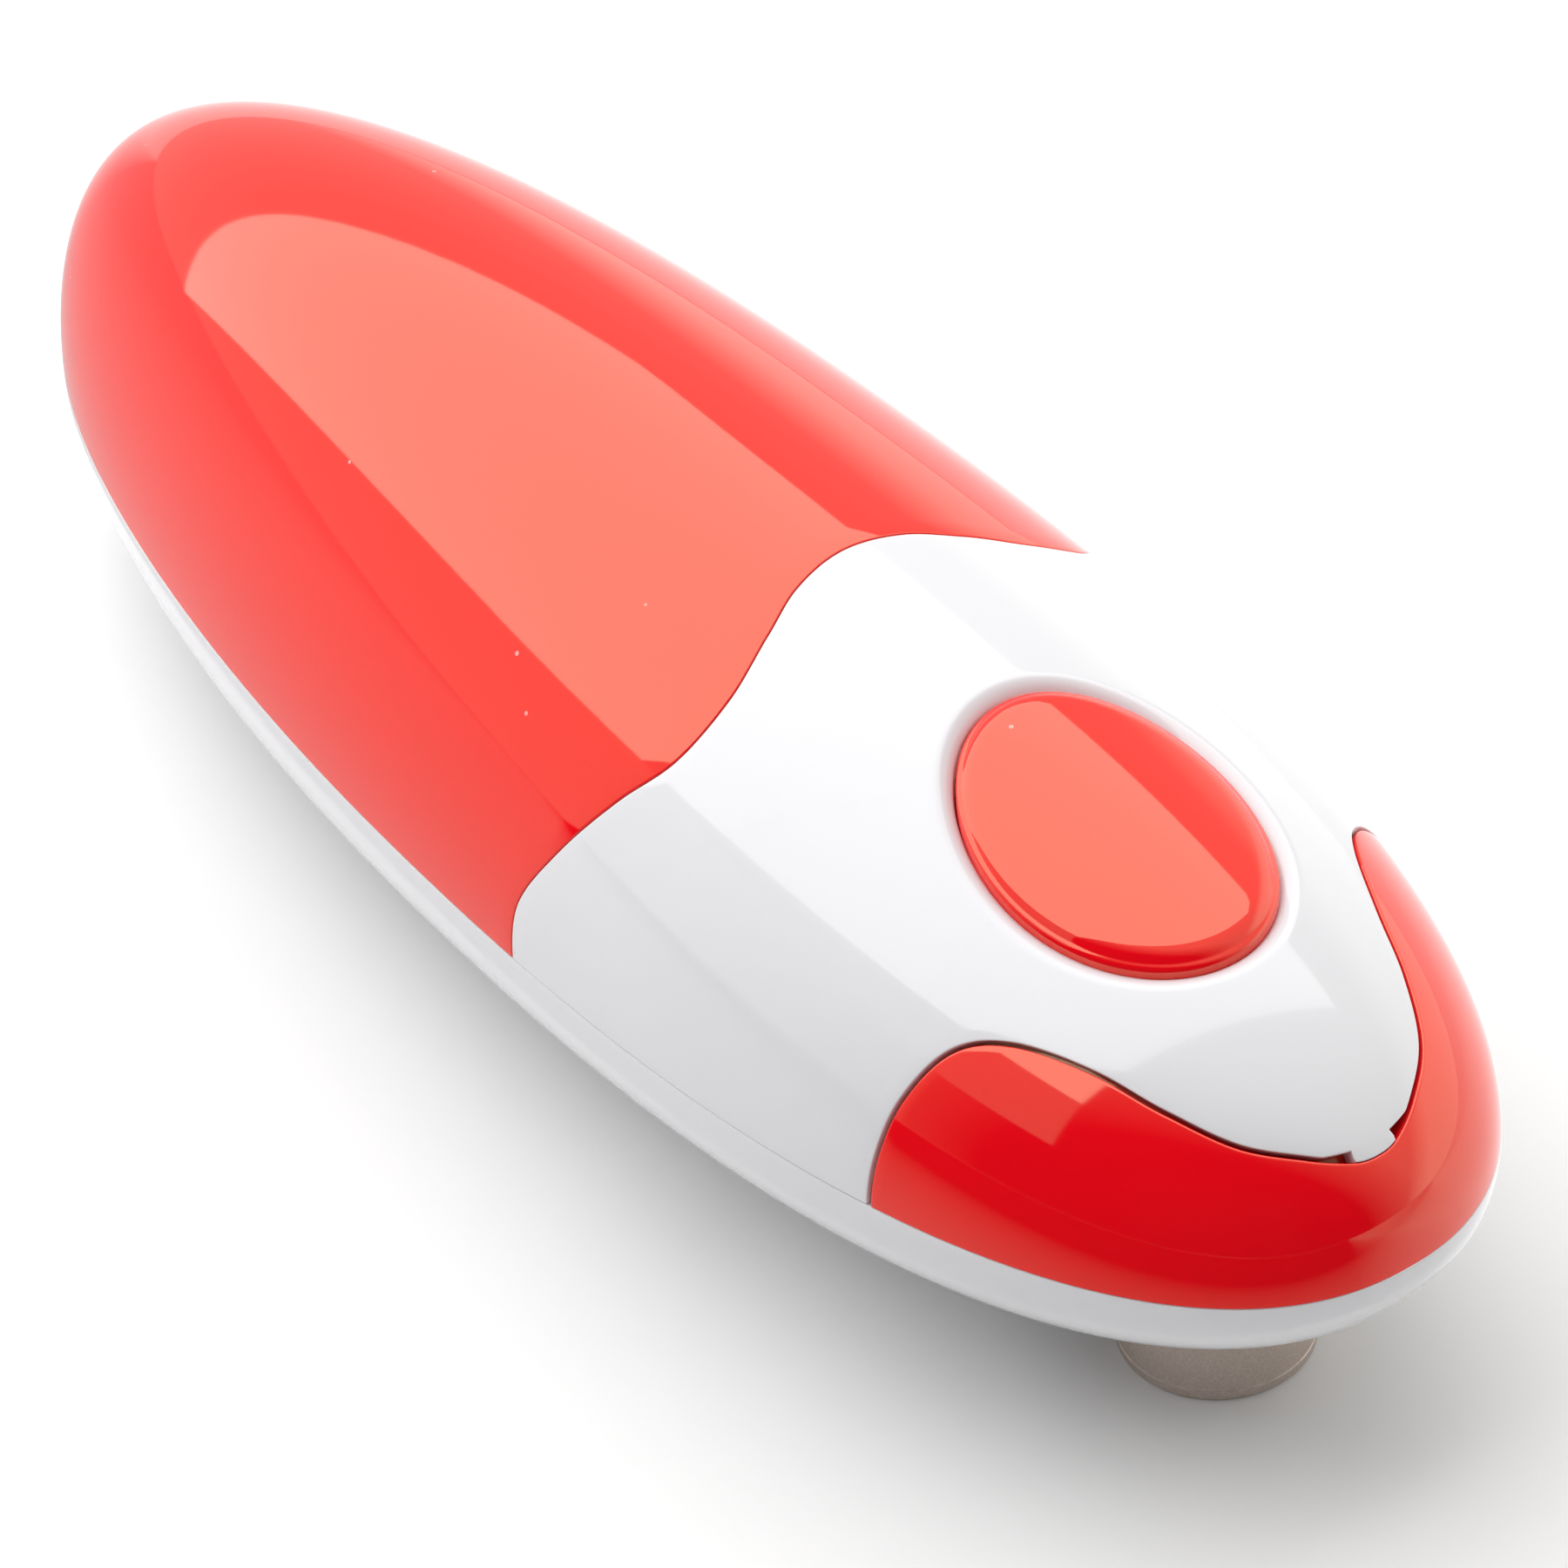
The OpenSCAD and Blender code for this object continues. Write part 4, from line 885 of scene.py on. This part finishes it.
def lathe(name, profile, centre, material, steps=96, sharp=35, axis="z"):
    """A turned solid from a profile of (radius, height), about a point in plan."""
    turn = np.linspace(0, 2 * math.pi, steps + 1)[:-1]
    rings = [np.stack([r * np.cos(turn), r * np.sin(turn), 0 * turn + z], axis=-1) for r, z in profile]
    grid = np.array(rings)
    if axis == "x":
        grid = grid[..., [2, 0, 1]]
    points = grid.reshape(-1, 3) + np.array([*centre, 0.0] if len(centre) == 2 else centre)
    return mesh_object(name, points, grid_faces(len(profile), steps, 0, closed=True), material, sharp)


def cut_with(obj, cutters):
    """Cuts the cutters out of obj, and removes them."""
    for cutter in cutters:
        modifier = obj.modifiers.new("cut", "BOOLEAN")
        modifier.operation = "DIFFERENCE"
        modifier.object = cutter
        modifier.solver = "EXACT"
    mesh = bpy.data.meshes.new_from_object(obj.evaluated_get(bpy.context.evaluated_depsgraph_get()))
    obj.modifiers.clear()
    obj.data = mesh
    for cutter in cutters:
        bpy.data.objects.remove(cutter)
    mesh.shade_smooth()
    mesh.set_sharp_from_angle(angle=math.radians(35))


def peg(radius, z0, z1, centre):
    return lathe("cutter", [(0.0, z0), (radius, z0), (radius, z1), (0.0, z1)], centre, white_abs, 72)


WELL_R = 2.5
BUSH_GAP = 0.2
CUT_FROM, CUT_TO, BUSH_CUT_TO = -5, 30, 12   # heights that the pegs reach, in millimetres
wells = [((a + b) / 2)[:2] for a, b in islands("shell_screws")]
turret_peg = peg(turret_r, CUT_FROM, CUT_TO, swing_at)
bush_peg = peg(bush_r + BUSH_GAP, CUT_FROM, BUSH_CUT_TO, drive_at)
cut_with(lower_shell, [turret_peg, bush_peg] + [peg(WELL_R, CUT_FROM, CUT_TO, c) for c in wells])
settle(lower_shell, "casing", "white_abs", "lower_shell")
print("screw wells at", [c.round(1).tolist() for c in wells])


# %% [markdown]
# ### Walls round the openings
# Each opening of a real shell has a wall round it, which stiffens it and hides the works. The walls
# could be extruded from the cut edges, but a separate ring stays round and even. Its foot follows the
# belly, so it meets the shell all the way round, and it is left open where the drive shaft stands.

# %% Walls round the openings
TURRET_WALL, WELL_WALL = 1.5, 0.7
WALL_SEAT = 0.02             # a wall starts this far outside its hole
WELL_TOP = 16.0
FOOT_SINK = 0.25             # a wall's foot stands this far inside the skin


def belly(x, y):
    """Height of the lower skin over a point in plan, in millimetres."""
    u = np.clip(x / half_l, -1, 1)
    width = half_w * bulge(u, PLAN)
    share = np.clip(1 - np.abs(y / width) ** BOTTOM_SQUARE, 0, 1) ** (1 / BOTTOM_SQUARE)
    return part_z + NOSE_RISE * x - bottom_h * bulge(u, BOTTOM) * share


def standing_wall(name, centre, r_in, r_out, top, start=0.0, end=2 * math.pi, steps=72):
    """A round wall, or part of one, that stands on the inside of the belly."""
    whole = end - start > 2 * math.pi - 1e-6
    turn = np.linspace(start, end, steps + 1)[:-1 if whole else None]
    rings = []
    for r, at_top in ((r_in, False), (r_in, True), (r_out, True), (r_out, False)):
        px, py = centre[0] + r * np.cos(turn), centre[1] + r * np.sin(turn)
        z = 0 * px + top if at_top else belly(px, py) + FOOT_SINK
        rings.append(np.stack([px, py, z], axis=-1))
    grid = np.array(rings + rings[:1])
    points = grid.reshape(-1, 3)
    faces = grid_faces(5, len(turn), 0, closed=whole)
    if not whole:
        last = len(turn) - 1
        faces += [tuple(k * len(turn) + i for k in range(4)) for i in (0, last)]
    return mesh_object(name, points, faces, white_abs)


plate_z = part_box("cutter_plate")[0][2] / MM
turret_out = turret_r + TURRET_WALL
gap_angle = math.acos(-(swing_at[0] - drive_at[0] - bush_r - 0.6) / turret_out) - 0.08
turret = standing_wall("turret_wall", swing_at, turret_r + WALL_SEAT, turret_out, plate_z - 0.05,
                       -gap_angle, gap_angle)
settle(turret, "casing", "white_abs")
for number, well in enumerate(wells):
    wall = standing_wall(f"screw_well_{number + 1}", well, WELL_R + WALL_SEAT, WELL_R + WELL_WALL, WELL_TOP)
    settle(wall, "casing", "white_abs")

# %% [markdown]
# ### Cutter barrel
# The barrel is a short steel cylinder, bead-blasted grey, with a fine turned edge at its foot. It is
# turned as a lathe profile with small rounded edges, and the slot for the cutting wheel and the bore
# for its stud are cut out of it.

# %% Cutter barrel
JOURNAL_R = 4.0
FOOT_R = 0.45                # rounding of the barrel's foot
CHAMFER = 0.4
SLOT_GAP = 0.4               # room round the cutting wheel in its slot
STUD_HOLE_R, STUD_HOLE_TOP = 1.78, 7.2
barrel_top = plate_z - 0.4
stud_at = np.array(joints["cutter_spin"]["pos_m"][:2]) / MM
wheel_low, wheel_high = (np.array(c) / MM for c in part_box("cutter_wheel"))
wheel_r = (wheel_high[0] - wheel_low[0]) / 2
foot = [(barrel_r - FOOT_R * (1 - math.sin(t)), FOOT_R * (1 - math.cos(t)))
        for t in np.linspace(0, math.pi / 2, 7)]
barrel_profile = [(0.0, 0.25), (3.2, 0.25), (3.5, 0.0)] + foot + [
    (barrel_r, 1.15), (barrel_r - 0.07, 1.2), (barrel_r - 0.07, 1.32), (barrel_r, 1.38),
    (barrel_r, barrel_top - CHAMFER), (barrel_r - CHAMFER, barrel_top), (0.0, barrel_top)]
barrel = lathe("barrel_body", barrel_profile, barrel_at, blasted_steel, 128)
slot_mid = (wheel_low[2] + wheel_high[2]) / 2
slot_half = (wheel_high[2] - wheel_low[2]) / 2 + SLOT_GAP
cut_with(barrel, [peg(wheel_r + SLOT_GAP, slot_mid - slot_half, slot_mid + slot_half, stud_at),
                  peg(STUD_HOLE_R, -1.0, STUD_HOLE_TOP, stud_at)])
settle(barrel, "cutter", "blasted_steel", "cutter_barrel")
journal_low, journal_high = barrel_top - 0.05, barrel_high[2]
journal_profile = [(0.0, journal_low), (JOURNAL_R, journal_low), (JOURNAL_R, journal_high - CHAMFER),
                   (JOURNAL_R - CHAMFER, journal_high), (0.0, journal_high)]
journal = lathe("journal", journal_profile, swing_at, zinc_steel)
settle(journal, "cutter", "zinc_steel")

# %% [markdown]
# ### Cells
# With the rear cover off, four cells show in their tray. A plain tube would pass for one from afar, but
# the open case is seen close to. So each is turned as a profile, with the crimped shoulder of the wrap
# and a raised cap, and the bare metal ends have a second finish.

# %% Cells
for number, (a, b) in enumerate(islands("battery_cells")):
    r, length = (b[1] - a[1]) / 2, b[0] - a[0]
    shoulder = length - 1.2
    body = [(0.0, 0.25), (r - 2.4, 0.25), (r - 2.2, 0.0), (r - 1.0, 0.0), (r - 0.3, 0.12), (r, 0.5),
            (r, shoulder - 0.7), (r - 0.25, shoulder - 0.2), (r - 0.9, shoulder), (r - 1.6, shoulder - 0.12),
            (r - 1.9, shoulder - 0.3), (2.9, shoulder - 0.3)]
    cap = [(2.72, shoulder - 0.3), (2.7, length - 0.3), (2.4, length), (0.0, length)]
    centre = (a[0], (a[1] + b[1]) / 2, (a[2] + b[2]) / 2)
    cell = lathe(f"cell_{number + 1}", body + cap, centre, cell_wrap, 64, axis="x")
    cell.data.materials.append(zinc_steel)
    for face in cell.data.polygons:
        middle_r = math.hypot(face.center[1] / MM - centre[1], face.center[2] / MM - centre[2])
        on_end = face.center[0] / MM < a[0] + 0.26 or face.center[0] / MM > a[0] + shoulder - 0.31
        face.material_index = 1 if on_end and middle_r < r - 1.7 else 0
    if number == 0:
        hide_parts("battery_cells")
    settle(cell, "casing", "cell_wrap")


# %% [markdown]
# ### Springs
# A spring is a round wire wound in a coil. A modifier could wind a circle upwards, but a bevelled
# curve along a helix keeps the wire's section round and ends where the design's spring does.

# %% Springs of round wire
SPRING_WIRE = 0.6
CELL_TURNS, RETURN_TURNS = 3.5, 4.5
STEPS_PER_TURN = 32


def wire(name, path, diameter, material):
    """A round wire along points in millimetres."""
    curve = bpy.data.curves.new(name, "CURVE")
    curve.dimensions = "3D"
    curve.bevel_depth = diameter / 2 * MM
    curve.bevel_resolution = 4
    curve.use_fill_caps = True
    spline = curve.splines.new("POLY")
    spline.points.add(len(path) - 1)
    for point, p in zip(spline.points, path):
        point.co = (*(Vector(p) * MM), 1)
    curve.materials.append(material)
    obj = bpy.data.objects.new(name, curve)
    bpy.context.scene.collection.objects.link(obj)
    mesh = bpy.data.meshes.new_from_object(obj.evaluated_get(bpy.context.evaluated_depsgraph_get()))
    bpy.data.objects.remove(obj)
    mesh.shade_smooth()
    piece = bpy.data.objects.new(name, mesh)
    bpy.context.scene.collection.objects.link(piece)
    return piece


def coil_path(low, high, axis, turns, diameter):
    """A helix that fills a box from low to high, wound about the axis 0 or 2."""
    u, v = [k for k in range(3) if k != axis]
    r = (high[u] - low[u]) / 2 - diameter / 2
    path = []
    steps = int(turns * STEPS_PER_TURN)
    for k in range(steps + 1):
        f, turn = k / steps, 2 * math.pi * turns * k / steps
        p = [0.0] * 3
        p[u] = (low[u] + high[u]) / 2 + r * math.cos(turn)
        p[v] = (low[v] + high[v]) / 2 + r * math.sin(turn)
        p[axis] = low[axis] + diameter / 2 + (high[axis] - low[axis] - diameter) * f
        path.append(p)
    return path


for number, (a, b) in enumerate(islands("battery_springs")):
    coil = coil_path(a, b, 0, CELL_TURNS, SPRING_WIRE)
    spring = wire(f"cell_spring_{number + 1}", coil, SPRING_WIRE, spring_steel)
    if number == 0:
        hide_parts("battery_springs")
    settle(spring, "casing", "spring_steel")
low, high = (np.array(c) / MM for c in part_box("button_spring"))
coil = coil_path(low, high, 2, RETURN_TURNS, SPRING_WIRE)
return_spring = wire("return_spring", coil, SPRING_WIRE, spring_steel)
settle(return_spring, "casing", "spring_steel", "button_spring")
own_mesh(return_spring)


# %% [markdown]
# ### Screws
# Small self-tapping screws hold the halves, the board, the gearbox and the cutter plate. Each is
# turned with a domed head, and a cross recess is cut into the head. One screw could be copied to every
# place, but lengths and heads differ, so each is turned to the size of its own solid in the design.

# %% Screws with a cross recess
def screw(name, low, high, head_up, head_r):
    """A screw in the box from low to high, its head at the top or the bottom."""
    centre = (low[:2] + high[:2]) / 2
    length = high[2] - low[2]
    shank_r = head_r * 0.55
    head_h = min(1.9, head_r * 0.8)
    profile = [(0.0, 0.0), (shank_r * 0.5, 0.0), (shank_r, 0.8), (shank_r, length - head_h),
               (head_r, length - head_h), (head_r, length - head_h * 0.45),
               (head_r * 0.85, length - head_h * 0.15), (head_r * 0.5, length), (0.0, length)]
    if not head_up:
        profile = [(r, length - z) for r, z in profile]
    body = lathe(name, [(r, low[2] + z) for r, z in profile], centre, zinc_steel, 40)
    top = high[2] if head_up else low[2]
    arms = []
    for turn in (0.0, math.pi / 2):
        bpy.ops.mesh.primitive_cube_add(size=1)
        arm = bpy.context.object
        arm.matrix_world = (Matrix.Translation(Vector((*centre, top)) * MM) @ Matrix.Rotation(turn, 4, "Z")
                            @ Matrix.Diagonal((head_r * 1.2 * MM, head_r * 0.28 * MM, head_h * 1.1 * MM, 1)))
        bpy.context.view_layer.update()
        arms.append(arm)
    cut_with(body, arms)
    return body


def screw_set(node, body, head_up):
    for number, (a, b) in enumerate(islands(node)):
        piece = screw(f"{node}_{number + 1}", a, b, head_up, (b[0] - a[0]) / 2)
        if number == 0:
            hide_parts(node)
        settle(piece, body, "zinc_steel")


for node, head_up in (("shell_screws", False), ("gearbox_screws", True), ("board_screws", True),
                      ("motor_screws", False), ("cutter_plate_screws", True)):
    screw_set(node, "casing", head_up)

# %% [markdown]
# ## Finishes for the pieces that stay
# The gears, shafts, plates and the motor keep the design's own meshes, because their shapes are
# right. They could be built again as the covers are, but the frame's meshes already hold their true
# teeth and bores. Each takes the finish that the record names for it.

# %% Finishes by slot
slot_of = {part["node"]: part["material_slot"] for part in frame["record"]["subparts"]}
print("finishes by slot for", len(slot_of), "nodes")
for name, obj in nodes.items():
    finish = FINISHES[slot_of[name]]
    obj.data.materials.clear()
    obj.data.materials.append(finish)
    if not obj.hide_render:
        obj.data.set_sharp_from_angle(angle=math.radians(30))

# %% [markdown]
# ## Studio
# The opener lies on a plain white sweep under a very large soft light that leans over its tail, in a
# pale room that is darker in front of the nose. The broad light is a sheet whose straight edges show
# in the gloss, so it is built as a mesh that glows, with corners placed round the object.

# %% Floor and lights
def stage_mesh(name, edge_a, edge_b, material, steps=1):
    """A sheet between two edges with equally many points, in metres."""
    a, b = np.array(edge_a, float), np.array(edge_b, float)
    grid = np.array([a + (b - a) * t for t in np.linspace(0, 1, steps + 1)])
    mesh = bpy.data.meshes.new(name)
    mesh.from_pydata(grid.reshape(-1, 3).tolist(), [], grid_faces(steps + 1, len(a)))
    mesh.materials.append(material)
    obj = bpy.data.objects.new(name, mesh)
    bpy.context.scene.collection.objects.link(obj)
    return obj


def glow_material(name, strength):
    material = bpy.data.materials.new(name)
    material.use_nodes = True
    tree = material.node_tree
    tree.nodes.clear()
    glow = add_node(tree, "ShaderNodeEmission", Strength=strength)
    tree.links.new(glow.outputs[0], add_node(tree, "ShaderNodeOutputMaterial").inputs[0])
    return material


floor_material, tree, shader = start_material("white_sweep")
shader.inputs["Base Color"].default_value = (0.86, 0.86, 0.86, 1)
shader.inputs["Roughness"].default_value = 0.6
stage_mesh("floor", [(-4, -4, 0), (4, -4, 0)], [(-4, 4, 0), (4, 4, 0)], floor_material)


def card_glow(name):
    """Glow for the card on the floor: dark by the nose, pale by the tail, brightest on the far side."""
    material = glow_material(name, 1.4)
    tree = material.node_tree
    at = add_node(tree, "ShaderNodeSeparateXYZ", Vector=place(tree))
    towards_tail_side = maths(tree, "SUBTRACT", maths(tree, "MULTIPLY", at.outputs[1], 0.9), at.outputs[0])
    near_part = maths(tree, "MULTIPLY", ramp(tree, towards_tail_side, -0.2, -0.06), 0.52)
    beyond = maths(tree, "MULTIPLY", ramp(tree, towards_tail_side, 0.06, 0.25), 0.12)
    far_part = maths(tree, "MULTIPLY", ramp(tree, at.outputs[1], 0.0, 0.05), 0.48)
    level = maths(tree, "ADD", maths(tree, "SUBTRACT", near_part, beyond), far_part)
    card_colour = mixed(tree, level, (0.02, 0.02, 0.02), (1.0, 1.0, 1.0))
    tree.links.new(card_colour, tree.nodes["Emission"].inputs["Color"])
    return material


# a card on the floor that only the gloss sees, with an oval opening for the opener
CARD_HOLE, CARD_REACH, CARD_Z = (0.106, 0.037), (3.0, 3.0), 0.0015
ring = [(math.cos(t), math.sin(t)) for t in np.linspace(0, 2 * math.pi, 65)[:-1]]
card_points = [(l * c, w * q, CARD_Z) for l, w in (CARD_HOLE, CARD_REACH) for c, q in ring]
mesh = bpy.data.meshes.new("shine_card")
mesh.from_pydata(card_points, [], grid_faces(2, 64, 0, closed=True))
mesh.materials.append(card_glow("shine_card"))
shine_card = bpy.data.objects.new("shine_card", mesh)
bpy.context.scene.collection.objects.link(shine_card)
shine_card.visible_camera = shine_card.visible_diffuse = False
shine_card.visible_shadow = shine_card.visible_transmission = False
# a fill from the nose side, which the gloss does not see
fill = stage_mesh("fill", [(0.5, -1.2, 0.1), (1.3, -0.4, 0.1)], [(0.5, -1.2, 0.9), (1.3, -0.4, 0.9)],
                  glow_material("fill_glow", 0.9))
fill.visible_camera = fill.visible_glossy = False
# the broad light, from its edge over the nose to its bowed edge beyond the tail
NEAR_CORNER, FAR_CORNER = np.array([0.144, -0.594, 0.657]), np.array([0.144, 0.612, 0.657])
LOW_CORNER, BOW = np.array([-1.44, -0.594, 0.018]), np.array([-1.2, -0.117, 0.64])
HIGH_CORNER = np.array([-1.035, 0.612, 0.9])
BOW_AT = 0.4                 # the bowed edge passes through BOW at this share of its way
PULL_IN = 0.22               # how far the far corner is drawn in
across = np.linspace(0, 1, 13)[:, None]
bowed = (LOW_CORNER * (across - BOW_AT) * (across - 1) / BOW_AT
         + BOW * across * (across - 1) / (BOW_AT * (BOW_AT - 1))
         + HIGH_CORNER * across * (across - BOW_AT) / (1 - BOW_AT))
nose_edge = NEAR_CORNER * (1 - across) + FAR_CORNER * across
tail_edge = nose_edge + (bowed - nose_edge) * (1 - PULL_IN * across ** 5)
broad = stage_mesh("broad_light", nose_edge, tail_edge, glow_material("broad_glow", 2.5), steps=12)
# a dimmer fall of the light's cloth, below its near edge
skirt_light = stage_mesh("light_skirt", [(-0.45, -0.594, 0.417), NEAR_CORNER],
                         [(-0.05, -0.6, 0.3), (0.12, -0.61, 0.33)], glow_material("skirt_glow", 0.6))
skirt_light.visible_camera = broad.visible_camera = False

# %% [markdown]
# ### Room light
# The table stands in a pale room that is dark in front of the nose, and a brighter wall low down on
# the far side pales the far edges of the gloss. A picture of a real room could light it, but two soft
# steps of colour over the sky give the same reflections and are easy to change.

# %% Room light
world = bpy.data.worlds.new("room")
bpy.context.scene.world = world
world.use_nodes = True
tree = world.node_tree
sky = tree.nodes["Background"]
look = add_node(tree, "ShaderNodeTexCoord").outputs["Generated"]
parts = add_node(tree, "ShaderNodeSeparateXYZ", Vector=look)
behind = maths(tree, "SUBTRACT", maths(tree, "MULTIPLY", parts.outputs[1], 0.9), parts.outputs[0])
bright = ramp(tree, behind, -0.8, -0.2)
far_low = maths(tree, "SUBTRACT", parts.outputs[1], maths(tree, "MULTIPLY", parts.outputs[2], 0.5))
room = mixed(tree, bright, (0.03, 0.03, 0.035), (0.83, 0.82, 0.78))
tree.links.new(mixed(tree, ramp(tree, far_low, 0.5, 0.7), room, (1.7, 1.66, 1.6)), sky.inputs["Color"])
sky.inputs["Strength"].default_value = 0.95
scene = bpy.context.scene
scene.view_settings.view_transform = "Standard"
print("lights placed")

# %% [markdown]
# ## Camera
# The camera looks down at the nose from the front and the side with a long lens, so that the casing
# shows little perspective. A short lens close by would swell the nose. The camera could be aimed by
# hand, but two angles, a slight roll and a distance say the same and are easy to read.

# %% Camera
AZIMUTH, ELEVATION, ROLL = (math.radians(v) for v in (54.945, 40.222, -3.375))
DISTANCE, SHIFT_RIGHT, SHIFT_UP = 0.853, 0.00653, -0.004926
LENS, SENSOR = 210.98, 36.0

back = Vector((math.sin(AZIMUTH) * math.cos(ELEVATION), -math.cos(AZIMUTH) * math.cos(ELEVATION),
               math.sin(ELEVATION)))
right = Vector((math.cos(AZIMUTH), math.sin(AZIMUTH), 0))
up = back.cross(right)
right, up = (right * math.cos(ROLL) + up * math.sin(ROLL), -right * math.sin(ROLL) + up * math.cos(ROLL))
eye = back * DISTANCE + right * SHIFT_RIGHT + up * SHIFT_UP + Vector((0, 0, part_z * MM))
camera_data = bpy.data.cameras.new("camera")
camera_data.lens, camera_data.sensor_width = LENS, SENSOR
camera = bpy.data.objects.new("camera", camera_data)
camera.matrix_world = Matrix.Translation(eye) @ Matrix((right, up, back)).transposed().to_4x4()
scene.collection.objects.link(camera)
scene.camera = camera
print("camera at", [round(c, 3) for c in eye])
